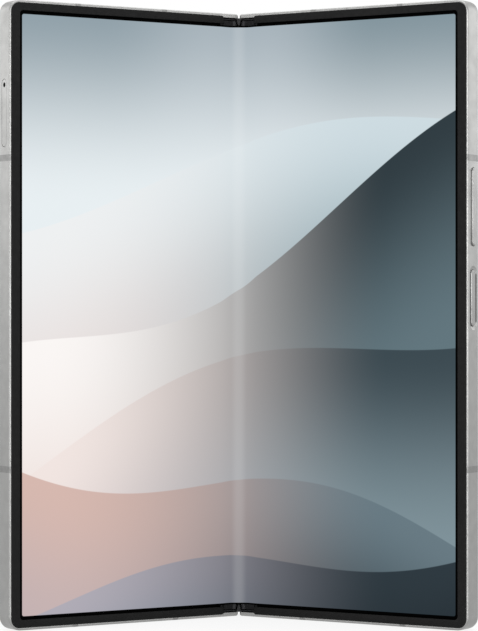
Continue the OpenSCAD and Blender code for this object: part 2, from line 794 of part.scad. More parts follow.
module cap_section(top) {
    translate([axis_x, plate_top]) square([fold_zone - 0.1 - axis_x, top - plate_top]);
    intersection() {
        translate([axis_x, axis_z]) circle(cap_end_r);
        translate([0, plate_top]) square([axis_x + eps, top - plate_top]);
    }
}

module display_backing() color("darkslateblue") difference() {
    along_z(-display_t - backing_t, -display_t) outer_rounded(fold_zone + 0.4, display_x1 - 0.3,
        display_y0 + 0.3, body_h - display_y0 - 0.3, inner_r - 0.1);
    translate([udc_x, udc_y, -2]) cylinder(r = udc_r + 0.1, h = 3);
}

module flexible_display_side() color("lightsteelblue")
    along_z(-display_t, 0) outer_rounded(fold_zone + 0.02, display_x1, display_y0,
        body_h - display_y0, inner_r - 0.1);

// The folding zone's section in the rest pose. Each point turns about the hinge axis by an
// angle that grows smoothly from none at the middle to the half's own fold at the zone's edge.
fold_edge = folded(fold_zone, 0, rest_fold)[0];
fold_steps = 14;
function fold_angle(x) = rest_fold * smooth(x / fold_edge);
function fold_flat_x(x) = axis_x + (x - axis_x - axis_z * sin(fold_angle(x))) / cos(fold_angle(x));
function fold_point(i, z) =
    let (x = fold_edge * i / fold_steps) folded(fold_flat_x(x), z, fold_angle(x));
function flip(p) = [-p[0], p[1]];

module flexible_display_fold() color("lightsteelblue") along_y(fold_end_y, body_h - fold_end_y)
    polygon(concat(
        [for (i = [fold_steps:-1:1]) flip(fold_point(i, 0))],
        [for (i = [0:fold_steps]) fold_point(i, 0)],
        [for (i = [fold_steps:-1:1]) fold_point(i, -display_t)],
        [for (i = [0:fold_steps]) flip(fold_point(i, -display_t))]));

// ---------------------------------------------------------------- back face

module back_panel_outline(gap) outer_rounded(halves_gap / 2 + lip_rim + gap,
    half_w - glass_inset - gap, glass_inset + gap, body_h - glass_inset - gap,
    corner_r - glass_inset);

module back_panel() along_z(-body_t, back_z - 0.02) back_panel_outline(fit);

module cover_glass() color("black") difference() {
    back_panel();
    translate([cover_x, body_h - glass_inset - fit, -body_t - 1])
        linear_extrude(2) stadium(earpiece_w, earpiece_slot);
}

module cover_display_panel() color("dimgray") difference() {
    along_z(back_z, back_z + panel_t) rounded(cavity_x0 + 0.3, cavity_x1 - ledge - 0.3,
        cavity_y0 + ledge + 0.3, body_h - cavity_y0 - ledge - 0.3, 1.2);
    translate([cover_x, cover_camera_y, -body_t]) cylinder(r = cover_camera_r + 0.1, h = 2);
}

module cover_camera() color("#202028") translate([cover_x, cover_camera_y, 0]) {
    translate([0, 0, back_z]) cylinder(r = cover_camera_r, h = panel_t + 0.5);
    span([-3, -3, back_z + panel_t + 0.5 - eps], [3, 3, cavity_top - fit]);
}

module rear_glass() color("lightgray") difference() {
    back_panel();
    translate([island_x, island_y, -body_t - 1]) rotate([0, 0, 90]) linear_extrude(2)
        stadium(island_len - 0.9, island_w - 0.9);
    translate([flash_x, flash_y, -body_t - 1]) cylinder(r = flash_r + fit, h = 2);
}

module lens_places() for (i = [-1:1]) translate([island_x, island_y + i * lens_pitch, 0]) children();

module camera_island() color("silver") difference() {
    union() {
        translate([island_x, island_y, lens_z]) rotate([0, 0, 90])
            linear_extrude(island_h - 0.02) stadium(island_len, island_w);
        translate([island_x, island_y, -body_t - 0.1]) rotate([0, 0, 90])
            linear_extrude(glass_t + 0.1) stadium(island_len - 1, island_w - 1);
    }
    lens_places() translate([0, 0, lens_z - 1]) cylinder(r = lens_r + 0.2, h = 4);
}

module camera_lens_rings() color("dimgray") lens_places() difference() {
    union() {
        translate([0, 0, lens_z - ring_h]) cylinder(r = lens_ring_r - 0.2, h = ring_h);
        translate([0, 0, lens_z - ring_h + 0.2]) cylinder(r = lens_ring_r, h = ring_h - 0.2);
        translate([0, 0, lens_z]) cylinder(r = lens_r + 0.15, h = island_h);
    }
    translate([0, 0, lens_z - 2]) cylinder(r = lens_r, h = 5);
}

module camera_lenses() color("#101018") lens_places()
    translate([0, 0, lens_z - ring_h + 0.1]) cylinder(r = lens_r - 0.02, h = 0.5);

module flash_lens() color("ivory") translate([flash_x, flash_y, -body_t - 0.1])
    cylinder(r = flash_r, h = glass_t + 0.1);

module camera_modules() color("#303038") lens_places() {
    translate([0, 0, lens_z + 0.1]) cylinder(r = lens_r - 0.5, h = island_h + glass_t + 0.5);
    translate([-5, -6, back_z + 0.5 - eps]) cube([10, 12, cavity_top - back_z - 0.55]);
}

// ---------------------------------------------------------------- inside the halves

module battery(x1, y1, z0) color("black")
    along_z(z0, cavity_top - 0.15) rounded(board_x0, x1, battery_y0, y1, battery_r);

// A circuit board, with shield cans whose corners are given as shares of its width and length
module board(x1, y0, cans) {
    z = cavity_top - 0.1 - board_t;
    size = [x1 - board_x0, board_y1 - y0];
    color("seagreen") span([board_x0, y0, z], [x1, board_y1, cavity_top - 0.1]);
    color("silver") for (c = cans) span([board_x0 + c[0] * size[0], y0 + c[1] * size[1], z - can_t],
        [board_x0 + c[2] * size[0], y0 + c[3] * size[1], z + eps]);
}

module left_battery() battery(cavity_x1 - part_gap, sub_board_y0 - part_gap, back_z + 0.5);

module sub_board() board(sub_board_x1, sub_board_y0,
    [[0.04, 0.03, 0.46, 0.51], [0.53, 0.1, 0.95, 0.62], [0.07, 0.66, 0.7, 0.95]]);

module speakers() color("#222222") both_ends() span(
    [speaker_x - speaker_w / 2, cavity_y0 + 0.1, back_z + ledge],
    [speaker_x + speaker_w / 2, cavity_y0 + speaker_len, cavity_top - fit]);

module speaker_meshes() color("gray") both_ends() translate([speaker_x, mesh_y, mid_z])
    rotate([-90, 0, 0]) speaker_row() cylinder(r = speaker_hole_r - eps, h = mesh_t);

tray_body_y1 = tray_y + tray_len / 2 - tray_hole_inset - tray_hole_r - 0.4;
tray_body_y0 = tray_y - tray_len / 2 + 1.2;
tray_body_t = 0.8;

module card_reader() color("silver") difference() {
    span([tray_x0 - 0.7, tray_body_y0 - 0.5, mid_z - 0.75],
        [cavity_x1 - 0.4, tray_body_y1 + 0.5, cavity_top - fit]);
    span([tray_x0 - 0.3, tray_body_y0 - 0.15, mid_z - tray_body_t / 2 - 0.1],
        [half_w, tray_body_y1 + 0.15, mid_z + tray_body_t / 2 + 0.1]);
}

module haptic_motor() color("lightgray") span([board_x0, cavity_y0 + part_gap, back_z + 0.8],
    [board_x0 + haptic_len, cavity_y0 + part_gap + haptic_w, cavity_top - 0.1]);

module flex_tail() color("darkgoldenrod")
    span([hinge_wall_x - 0.9, mid_y - flex_w / 2, arm_top - 0.4 - flex_t],
        [arm_tab_x1 - 1, mid_y + flex_w / 2, arm_top - 0.4]);

module hinge_flex_cable() color("darkgoldenrod")
    along_y(mid_y - flex_w / 2, mid_y + flex_w / 2) difference() {
        intersection() {
            spine_form(spine_inner_r);
            below(spine_top_z - 0.2);
        }
        spine_form(spine_inner_r - flex_t);
    }

module under_display_camera() color("#202028") {
    translate([udc_x, udc_y, cavity_top - 0.3]) cylinder(r = udc_r, h = -display_t - cavity_top + 0.28);
    translate([udc_x, udc_y, (back_z + 0.8 + cavity_top - 0.2) / 2])
        cube([udc_box, udc_box, cavity_top - back_z - 1], center = true);
}

module right_battery() battery(key_rib_x - key_rib_t - 0.6, main_board_y0 - part_gap, back_z + 0.55);

module main_board() board(main_board_x1, main_board_y0,
    [[0.03, 0.02, 0.44, 0.54], [0.5, 0.08, 0.92, 0.42], [0.5, 0.46, 0.92, 0.55], [0.06, 0.59, 0.85, 0.92]]);

module charging_coil() color("peru") translate([coil_x, coil_y, back_z + 0.12])
    for (r = [coil_r0:coil_pitch:coil_r1]) difference() {
        cylinder(r = r + coil_wire_w / 2, h = coil_wire_t);
        translate([0, 0, -coil_wire_t]) cylinder(r = r - coil_wire_w / 2, h = 3 * coil_wire_t);
    }

module usb_c_port() color("silver") translate([usb_x, 0.6, mid_z]) rotate([-90, 0, 0]) {
    difference() {
        linear_extrude(usb_len) stadium(usb_w + 2 * usb_wall, usb_h + 2 * usb_wall);
        translate([0, 0, -1]) linear_extrude(usb_len) stadium(usb_w, usb_h);
    }
    span([-usb_tongue_w / 2, -usb_tongue_t / 2, 1], [usb_tongue_w / 2, usb_tongue_t / 2, usb_len - 0.5]);
}

module key_switches() color("goldenrod") {
    span([key_rib_x, power_y - power_len / 2 - 1, mid_z - 1.1],
         [key_rib_x + 0.15, volume_y + volume_len / 2 + 1, mid_z + 1.1]);
    for (y = [power_y, volume_y - volume_len / 3, volume_y + volume_len / 3])
        translate([key_rib_x + 0.15 - eps, y, mid_z]) rotate([0, 90, 0])
            cylinder(r1 = 1, r2 = 0.7, h = switch_t - 0.15);
}

// ---------------------------------------------------------------- keys and tray

key_flange_x = cavity_x1 - 0.2 - key_flange_t;

// The flange behind a key, a little wider than its slot
module key_flange(y, len, w) side_slot(y, mid_z, len + 1, w + 4 * slot_gap, key_flange_x,
    key_flange_x + key_flange_t);

module volume_key() color("gainsboro") {
    side_slot(volume_y, mid_z, volume_len, volume_w, key_flange_x + eps, half_w + volume_proud - 0.2);
    side_slot(volume_y, mid_z, volume_len - 0.3, volume_w - 0.3, half_w, half_w + volume_proud);
    key_flange(volume_y, volume_len, volume_w);
}

module power_key() color("gainsboro") {
    side_slot(power_y, mid_z, power_len, power_w, key_flange_x + eps, half_w - power_face_depth - 0.1);
    side_slot(power_y, mid_z, power_len - 0.3, power_w - 0.3, key_flange_x, half_w - power_face_depth);
    key_flange(power_y, power_len, power_w);
}

module card_tray() color("gainsboro") difference() {
    union() {
        side_slot(tray_y, mid_z, tray_len, tray_w, cavity_x1, half_w - 0.02);
        span([tray_x0, tray_body_y0, mid_z - tray_body_t / 2],
            [cavity_x1 + eps, tray_body_y1, mid_z + tray_body_t / 2]);
    }
    translate([cavity_x1 - 1, tray_y + tray_len / 2 - tray_hole_inset, mid_z]) rotate([0, 90, 0])
        cylinder(r = tray_hole_r, h = 5);
    span([tray_x0 + 1.5, tray_body_y0 + 1.2, mid_z - tray_body_t / 2 + 0.25],
        [tray_x0 + 13.8, tray_body_y1 - 1.2, mid_z + 1]);
}

// ---------------------------------------------------------------- the assembly

stand() spine_cover();
stand() spine_end_caps();
stand() hinge_blocks();
stand() hinge_block_screws();
stand() hinge_shafts();
stand() idler_pins();
stand() friction_washers();
stand() disc_springs();
stand() hinge_flex_cable();
stand() flexible_display_fold();
stand() mirror([1, 0, 0]) idler_gears(tooth_pitch / 2);  // left_idler_gears
stand() idler_gears(0);  // right_idler_gears
left_half() wing_plate();  // left_wing_plate
right_half() wing_plate();  // right_wing_plate
left_half() left_frame();
left_half() antenna_bands();  // left_antenna_bands
left_half() bezel();  // left_bezel
left_half() fold_caps();  // left_fold_caps
left_half() display_backing();  // left_display_backing
left_half() flexible_display_side();  // flexible_display_left
left_half() hinge_arms();  // left_hinge_arms
left_half() arm_gears(tooth_pitch / 2);  // left_arm_gears
left_half() arm_screws();  // left_arm_screws
left_half() wing_pin();  // left_wing_pin
left_half() cover_glass();
left_half() cover_display_panel();
left_half() cover_camera();
left_half() left_battery();
left_half() sub_board();
left_half() speakers();
left_half() speaker_meshes();
left_half() card_reader();
left_half() haptic_motor();
left_half() flex_tail();  // left_flex_tail
right_half() right_frame();
right_half() antenna_bands();  // right_antenna_bands
right_half() bezel();  // right_bezel
right_half() fold_caps();  // right_fold_caps
right_half() display_backing();  // right_display_backing
right_half() flexible_display_side();  // flexible_display_right
right_half() hinge_arms();  // right_hinge_arms
right_half() arm_gears(0);  // right_arm_gears
right_half() arm_screws();  // right_arm_screws
right_half() wing_pin();  // right_wing_pin
right_half() rear_glass();
right_half() camera_island();
right_half() camera_lens_rings();
right_half() camera_lenses();
right_half() flash_lens();
right_half() camera_modules();
right_half() under_display_camera();
right_half() right_battery();
right_half() main_board();
right_half() charging_coil();
right_half() usb_c_port();
right_half() key_switches();
right_half() flex_tail();  // right_flex_tail
right_half() volume_key();
right_half() power_key();
left_half() card_tray();
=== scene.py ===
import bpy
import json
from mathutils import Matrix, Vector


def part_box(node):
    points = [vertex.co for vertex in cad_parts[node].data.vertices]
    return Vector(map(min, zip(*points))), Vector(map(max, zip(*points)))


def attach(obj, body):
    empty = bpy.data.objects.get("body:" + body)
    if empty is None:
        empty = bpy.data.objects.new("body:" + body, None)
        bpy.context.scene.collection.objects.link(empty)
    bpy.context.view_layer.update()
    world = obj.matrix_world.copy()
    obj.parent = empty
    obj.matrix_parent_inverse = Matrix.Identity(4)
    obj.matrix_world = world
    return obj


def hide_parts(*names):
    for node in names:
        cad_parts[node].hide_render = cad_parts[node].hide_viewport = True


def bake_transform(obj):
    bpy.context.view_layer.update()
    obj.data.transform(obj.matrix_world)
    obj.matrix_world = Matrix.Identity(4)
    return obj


bl_info = {
    "name": "Foldable phone studio",
    "version": (1, 0, 0),
    "blender": (4, 5, 0),
    "location": "View3D > Sidebar > Phone",
    "description": "Dresses a foldable phone with its screen, trims, keys, cameras and finishes",
    "category": "Object",
}

import json
import math

import bpy
import numpy as np
from bpy.props import FloatProperty, FloatVectorProperty, IntProperty, PointerProperty

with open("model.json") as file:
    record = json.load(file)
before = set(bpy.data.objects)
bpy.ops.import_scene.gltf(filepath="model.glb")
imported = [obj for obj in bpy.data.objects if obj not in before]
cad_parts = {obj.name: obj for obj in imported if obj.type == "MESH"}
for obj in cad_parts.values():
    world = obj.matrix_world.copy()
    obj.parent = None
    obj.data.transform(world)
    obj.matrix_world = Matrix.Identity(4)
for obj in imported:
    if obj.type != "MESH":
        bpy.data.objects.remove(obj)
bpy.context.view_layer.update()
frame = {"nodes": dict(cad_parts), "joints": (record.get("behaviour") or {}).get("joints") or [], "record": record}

MM = 0.001
QUARTER = math.pi / 2
JOINTS = {joint["name"]: joint for joint in frame["joints"]}
SLOTS = {part["node"]: part["material_slot"] for part in frame["record"]["subparts"]}


# ---------------------------- the frame's own directions


def node_points(node):
    """A CAD node's points as an array of rows (x, y, z)."""
    mesh = frame["nodes"][node].data
    points = np.empty(len(mesh.vertices) * 3)
    mesh.vertices.foreach_get("co", points)
    return points.reshape(-1, 3)


class Half:
    """One half of the phone. A place in it is (out, up, along): the distance from its hinge axis
    towards its outer side, the height over the hinge axis out of the inner display, and the
    height over the ground along the hinge."""

    def __init__(self, side):
        mirror = 1 if side == "right" else -1
        push = JOINTS["press_power_key" if side == "right" else "slide_card_tray"]["axis"]
        self.side = side
        self.mirror = mirror
        self.body = side + "_half"
        self.hinge = np.array(JOINTS["fold_" + side]["pos_m"])
        self.out = -mirror * np.array(push)
        self.along = np.array([0.0, 0.0, 1.0])
        self.up = mirror * np.cross(self.out, self.along)
        self.fold = math.atan2(-self.out[1], abs(self.out[0]))

    def place(self, out, up, along):
        """Points in the phone's frame for places in this half."""
        out, up, along = np.broadcast_arrays(out, up, along)
        return (self.hinge + out[..., None] * self.out + up[..., None] * self.up
                + along[..., None] * self.along)

    def reach(self, node):
        """A CAD node's lowest and highest place in this half."""
        offset = node_points(node) - self.hinge
        places = np.stack([offset @ self.out, offset @ self.up, offset @ self.along], -1)
        return places.min(0), places.max(0)


HALVES = {side: Half(side) for side in ("left", "right")}


# ---------------------------- mesh building


def smooth(share):
    """The curve 3 s^2 - 2 s^3, for s held between 0 and 1."""
    share = np.clip(share, 0, 1)
    return share * share * (3 - 2 * share)


def rounding(radius, steps):
    """A quarter circle from upright to flat: r (1 - cos a) inwards and r (1 - sin a) short of the
    face, as rows of points."""
    turn = np.linspace(0, QUARTER, steps)
    return np.stack([radius * (1 - np.cos(turn)), radius * (1 - np.sin(turn))], -1)


def ring_faces(rings, points, wrap=True):
    """Quads between each ring and the next, the last point of a ring joining its first with wrap."""
    ring, point = np.meshgrid(np.arange(rings - 1), np.arange(points - (0 if wrap else 1)), indexing="ij")
    after = (point + 1) % points
    quads = [ring * points + point, ring * points + after, (ring + 1) * points + after,
             (ring + 1) * points + point]
    return np.stack(quads, -1).reshape(-1, 4)


def fan(centre, ring):
    """Triangles from a centre point to each edge of a closed ring."""
    return np.stack([np.full(len(ring), centre), ring, np.roll(ring, -1)], -1)


def volume(points, faces):
    """Signed volume inside closed faces: the sum of the tetrahedra from the origin to each triangle."""
    total = 0.0
    for corners in faces:
        for k in range(1, corners.shape[1] - 1):
            a, b, c = (points[corners[:, i]] for i in (0, k, k + 1))
            total += np.einsum("ij,ij->", a, np.cross(b, c))
    return total / 6


def make_object(name, points, faces, sharp=35):
    """A mesh object from arrays of points and faces, shaded smooth but for edges over an angle."""
    mesh = bpy.data.meshes.new(name)
    mesh.from_pydata(points.tolist(), [], [face for group in faces for face in group.tolist()])
    mesh.update()
    mesh.shade_smooth()
    mesh.set_sharp_from_angle(angle=math.radians(sharp))
    piece = bpy.data.objects.new(name, mesh)
    bpy.context.scene.collection.objects.link(piece)
    return piece


def closed_object(name, points, faces, sharp):
    """A closed solid, its faces turned to point outwards by the sign of its volume."""
    if volume(points, faces) < 0:
        faces = [group[:, ::-1] for group in faces]
    return make_object(name, points, faces, sharp)


def loft(name, rings, sharp=35, poles=None):
    """A closed solid through rings of points, with a fan of triangles over each end, about the
    ring's middle or a given pole."""
    count, size = rings.shape[:2]
    if poles is None:
        poles = rings[[0, -1]].mean(1)
    points = np.concatenate([rings.reshape(-1, 3), poles])
    first, last = np.arange(size), np.arange(size) + (count - 1) * size
    faces = [ring_faces(count, size), fan(count * size, first[::-1]), fan(count * size + 1, last)]
    return closed_object(name, points, faces, sharp)


def tube(name, rings, sharp=35):
    """A closed ring-shaped solid through rings of points, the last ring joined to the first."""
    count, size = rings.shape[:2]
    first, last = np.arange(size), np.arange(size) + (count - 1) * size
    seam = np.stack([last, np.roll(last, -1), np.roll(first, -1), first], -1)
    faces = np.concatenate([ring_faces(count, size), seam])
    return closed_object(name, rings.reshape(-1, 3), [faces], sharp)


def lathe(name, half, centre, profile, steps=72, sharp=35):
    """A closed solid of revolution about a line square to the half's display. Each point of the
    closed profile is (radius, height over the hinge axis), and is carried once round the line. A
    profile that starts and ends on the line is closed by its two poles."""
    turn = np.arange(steps) * 2 * math.pi / steps
    radius, up = (column[:, None] for column in np.asarray(profile, float).T)
    rings = half.place(centre[0] + radius * np.cos(turn), up + 0 * turn, centre[1] + radius * np.sin(turn))
    if profile[0][0] == 0:
        return loft(name, rings[1:-1], sharp, poles=rings[[0, -1], 0])
    return tube(name, rings, sharp)


def stadium(length, width, steps):
    """Slot outlines with round ends, as arrays of places across and along, a row for each length and
    width: half circles about two centres, (length - width) apart."""
    length, width = (np.asarray(size, float)[:, None] for size in (length, width))
    turn = (np.arange(2 * steps) + 0.5) * math.pi / steps
    run = (length - width) / 2
    return width / 2 * np.cos(turn), width / 2 * np.sin(turn) + np.where(np.sin(turn) > 0, run, -run)


def finish_piece(piece, body, slot, *nodes):
    """Gives a new piece its finish and its body, and hides the CAD nodes that it stands for."""
    piece.data.materials.append(finish_for(slot))
    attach(piece, body)
    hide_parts(*nodes)


# ---------------------------- node trees


def linear(red, green, blue):
    """A screen colour of 0 to 255 as linear light."""
    share = np.array([red, green, blue]) / 255
    return tuple(np.where(share <= 0.04045, share / 12.92, ((share + 0.055) / 1.055) ** 2.4)) + (1.0,)


def shade(color, factor):
    """A colour made darker or lighter."""
    return (*(min(1.0, c * factor) for c in color[:3]), 1)


class Graph:
    """A node tree while it is made."""

    def __init__(self, owner):
        owner.use_nodes = True
        self.nodes = owner.node_tree.nodes
        self.links = owner.node_tree.links

    def feed(self, socket, value):
        """Gives a socket a value, or a link where the value is another node's output."""
        if isinstance(value, bpy.types.NodeSocket):
            self.links.new(value, socket)
        else:
            socket.default_value = value

    def set(self, node, values):
        """Sets a node's sockets by name."""
        for name, value in values.items():
            self.feed(node.inputs[name], value)
        return node

    def add(self, kind, values=None, **settings):
        """A new node with its settings and sockets."""
        node = self.nodes.new("ShaderNode" + kind)
        for name, value in settings.items():
            setattr(node, name, value)
        return self.set(node, values or {})

    def result(self, node, values, output=0):
        """An output of a node, once its sockets have their values in order."""
        for socket, value in zip(node.inputs, values):
            self.feed(socket, value)
        return node.outputs[output]

    def math(self, operation, *values):
        """The result of a Math node."""
        return self.result(self.add("Math", operation=operation), values)

    def gap(self, first, second):
        """How far two values are apart."""
        return self.math("ABSOLUTE", self.math("SUBTRACT", first, second))

    def ramp(self, value, start, end, low=0.0, high=1.0):
        """A value eased from low to high between start and end."""
        node = self.add("MapRange", interpolation_type="SMOOTHSTEP")
        return self.result(node, (value, start, end, low, high))

    def mix(self, share, first, second):
        """One colour turning into another by a share."""
        node = self.add("Mix", data_type="RGBA")
        for number, value in ((0, share), (6, first), (7, second)):
            self.feed(node.inputs[number], value)
        return node.outputs[2]

    def seen_plain(self):
        """1 for a ray from the camera, and 1 for a ray from the camera, a glossy face or a clear one."""
        path = self.add("LightPath").outputs
        seen = self.math("MAXIMUM", path["Is Camera Ray"], path["Is Glossy Ray"])
        return path["Is Camera Ray"], self.math("MAXIMUM", seen, path["Is Transmission Ray"])

    def show(self, output, share, first, second):
        """Sends one shader turning into another by a share to the tree's output."""
        both = self.result(self.add("MixShader"), (share, first.outputs[0], second.outputs[0]))
        self.feed(self.nodes[output].inputs["Surface"], both)


class Finish(Graph):
    """A node material while it is made: one shader, and patterns that read places on the piece.
    Its sizes are in millimetres."""

    def __init__(self, name, color, metallic, roughness, sockets=None, coordinates="Object"):
        self.material = bpy.data.materials.new(name)
        super().__init__(self.material)
        self.color = tuple(color[:3])
        self.roughness = roughness
        self.shader = self.nodes["Principled BSDF"]
        self.set(self.shader, {"Base Color": (*self.color, 1), "Metallic": metallic, "Roughness": roughness})
        self.set(self.shader, sockets or {})
        self.here = self.add("TexCoord").outputs[coordinates]

    def noise(self, size, detail=3, along=1):
        """Cloudy noise whose patches are about one size, stretched along the hinge."""
        scale = (1 / (size * MM), 1 / (size * MM), 1 / (size * MM * along))
        where = self.add("Mapping", {"Vector": self.here, "Scale": scale}).outputs[0]
        return self.add("TexNoise", {"Vector": where, "Scale": 1.0, "Detail": detail}).outputs[0]

    def wave(self, size, way):
        """Even ridges of one size, one after another along an axis."""
        values = {"Vector": self.here, "Scale": 1 / (size * MM)}
        return self.add("TexWave", values, bands_direction=way, wave_profile="SIN").outputs["Fac"]

    def spread(self, share):
        """A noise, which lies about its middle, spread over 0 to 1."""
        return self.ramp(share, 0.35, 0.65)

    def shades(self, share, dark, light, color=None):
        """The piece's colour, or another, between a darker and a lighter shade of it by a share."""
        color = color or self.color
        return self.mix(share, shade(color, dark), shade(color, light))

    def paint(self, color):
        """Sets the base colour."""
        self.feed(self.shader.inputs["Base Color"], color)
        return self

    def tint(self, share, dark, light):
        """Spreads the base colour between two shades by a noise."""
        return self.paint(self.shades(self.spread(share), dark, light))

    def gloss(self, share, less, more):
        """Lets the roughness go under and over its value by a noise."""
        levels = (self.roughness + less, self.roughness + more)
        self.feed(self.shader.inputs["Roughness"], self.ramp(share, 0.3, 0.7, *levels))
        return self

    def relief(self, share, depth):
        """Small relief of a depth."""
        bump = self.add("Bump", {"Height": share, "Distance": depth * MM})
        self.feed(self.shader.inputs["Normal"], bump.outputs[0])
        return self


# ---------------------------- finishes


def grained(metallic, gloss, tint, relief, sockets=None):
    """A way to make a finish of three noises, each given as (size, detail, stretch along the hinge)
    and what it does: its least and most change of roughness, its darker and lighter shade, and the
    depth of its relief."""

    def make(name, color, roughness):
        finish = Finish(name, color, metallic, roughness, sockets)
        for row, use in ((gloss, finish.gloss), (tint, finish.tint), (relief, finish.relief)):
            if row:
                use(finish.noise(*row[:3]), *row[3:])
        return finish.material

    return make


# Bead-blasted metal: fine pits, and cloudy changes of gloss over a few millimetres
blasted_metal = grained(1.0, (6, 3, 1, -0.04, 0.05), (2.5, 3, 1, 0.96, 1.03), (0.14, 2, 1, 0.0025))
# Ground or brushed metal: fine lines along the hinge
ground_metal = grained(1.0, (0.08, 3, 60, -0.08, 0.1), (0.4, 4, 20, 0.9, 1.06), (0.08, 3, 60, 0.002))
# Moulded plastic with a fine spark-eroded grain
moulded_plastic = grained(0.0, (1.5, 3, 1, -0.05, 0.07), (0.6, 3, 1, 0.88, 1.12), (0.09, 2, 1, 0.003),
                          {"Specular IOR Level": 0.1})
# Plastic painted to go with the metal beside it: a metallic lacquer with a fine grain
matched_plastic = grained(0.8, (4, 3, 1, -0.04, 0.06), (1.2, 3, 1, 0.93, 1.05), (0.12, 2, 1, 0.002))
# Black glass with a clear face and faint smears of handling
dark_glass = grained(0.0, (14, 4, 2.4, 0, 0.06), (30, 3, 1, 0.8, 1.25), None, {"Specular IOR Level": 0.35})
# Etched back glass: a metallic flake under a satin face
frosted_glass = grained(0.35, (9, 4, 1, -0.03, 0.05), (0.12, 1, 1, 0.94, 1.06), (0.06, 2, 1, 0.0012),
                        {"Coat Weight": 0.25, "Coat Roughness": 0.3, "IOR": 1.52})
# A battery's wrap: satin film with soft wrinkles along its length
pouch_film = grained(0.1, (2.2, 4, 4, -0.08, 0.1), (2.2, 4, 4, 0.8, 1.3), (2.2, 4, 4, 0.03))
# Varnished wire: bright turns with darker varnish between them
wound_copper = grained(1.0, (0.35, 4, 1, -0.1, 0.12), (1.1, 3, 1, 0.8, 1.15), (0.35, 4, 1, 0.01),
                       {"Coat Weight": 0.7, "Coat Roughness": 0.12})
# The flash window: milky plastic with a soft grain
diffusing_plastic = grained(0.0, None, (0.3, 2, 1, 0.9, 1.05), (0.3, 2, 1, 0.01),
                            {"Subsurface Weight": 0.4, "Subsurface Scale": 0.6 * MM, "Coat Weight": 0.4})


def cap_plastic(name, color, roughness):
    """The caps' moulded plastic: a painted highlight on the noses beside the fold, lighter on the end band, and
    painted shade in the groove and on the neck."""
    # Shades of the colour: plain, the noses' painted highlight, the lighter end band, and the painted shade
    plain, nose_highlight, banded, shadow = (0.6, 0.8), (2.2, 2.8), (1.5, 1.8), 0.05
    nose_end, nose_start = 1.7 * MM, 1.2 * MM
    groove_edge, neck_edge = 0.05 * MM, 0.01 * MM
    finish = Finish(name, color, 0.0, roughness, {"Specular IOR Level": 0.03})
    trim = bpy.context.scene.phone_trim
    low, high = (corner[2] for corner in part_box("left_fold_caps"))
    middle = (low + high) / 2
    reach = high - middle - trim.cap_start
    half_groove = trim.cap_groove / 2
    groove = reach - trim.cap_band - half_groove
    place = finish.add("SeparateXYZ", {"Vector": finish.here}).outputs
    end = finish.gap(place["Z"], middle)
    # Painted shade: the groove and the neck beside the rail are painted near black, where they lie in shade
    in_groove = finish.ramp(finish.gap(end, groove), half_groove + groove_edge, half_groove)
    dark = finish.math("MAXIMUM", in_groove, finish.ramp(end, reach - neck_edge, reach))
    grain = finish.spread(finish.noise(0.6))
    # Painted highlight: the noses beside the fold are painted lighter, where they would catch the light
    nose = finish.ramp(finish.math("ABSOLUTE", place["X"]), nose_end, nose_start)
    face = finish.mix(nose, finish.shades(grain, *plain), finish.shades(grain, *nose_highlight))
    face = finish.mix(finish.ramp(end, groove - half_groove, groove + half_groove), face,
                      finish.shades(grain, *banded))
    finish.paint(finish.mix(dark, face, shade(color, shadow)))
    finish.gloss(finish.noise(1.5), -0.05, 0.07)
    return finish.relief(finish.noise(0.09, 2), 0.003).material


def plug_plastic(name, color, roughness):
    """The plugs' moulded plastic, with its face bare and painted shade over everything deeper in the gap."""
    near, deep, shadow = 0.25 * MM, 0.45 * MM, 0.04
    finish = Finish(name, color, 0.0, roughness, {"Specular IOR Level": 0.02})
    depth = finish.add("SeparateXYZ", {"Vector": finish.here}).outputs["Y"]
    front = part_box("spine_end_caps")[0][1]
    face = finish.shades(finish.spread(finish.noise(0.6)), 0.88, 1.12)
    # Painted shade: nearly black past the face's depth, where the gap lies in shade
    finish.paint(finish.mix(finish.ramp(depth, front + near, front + deep), face, shade(color, shadow)))
    return finish.relief(finish.noise(0.09, 2), 0.003).material


def rounded_distance(graph, x, y, limit_x, limit_y, corner):
    """How far a place (x, y) is outside a rounded rectangle: the length of what its coordinates are
    over the core's limits, less the corner's radius."""
    past = [graph.math("MAXIMUM", graph.math("SUBTRACT", graph.math("ABSOLUTE", value), limit - corner), 0)
            for value, limit in ((x, limit_x), (y, limit_y))]
    squares = graph.math("ADD", *(graph.math("MULTIPLY", value, value) for value in past))
    return graph.math("SUBTRACT", graph.math("SQRT", squares), corner)


def place_on(finish, half):
    """A place on a half in millimetres: out from its hinge axis, and up along the hinge."""
    offset = finish.result(finish.add("VectorMath", operation="SUBTRACT"), (finish.here, tuple(half.hinge)))
    return [finish.math("DIVIDE", finish.result(finish.add("VectorMath", operation="DOT_PRODUCT"),
                                                (offset, tuple(way)), "Value"), MM)
            for way in (half.out, half.along)]


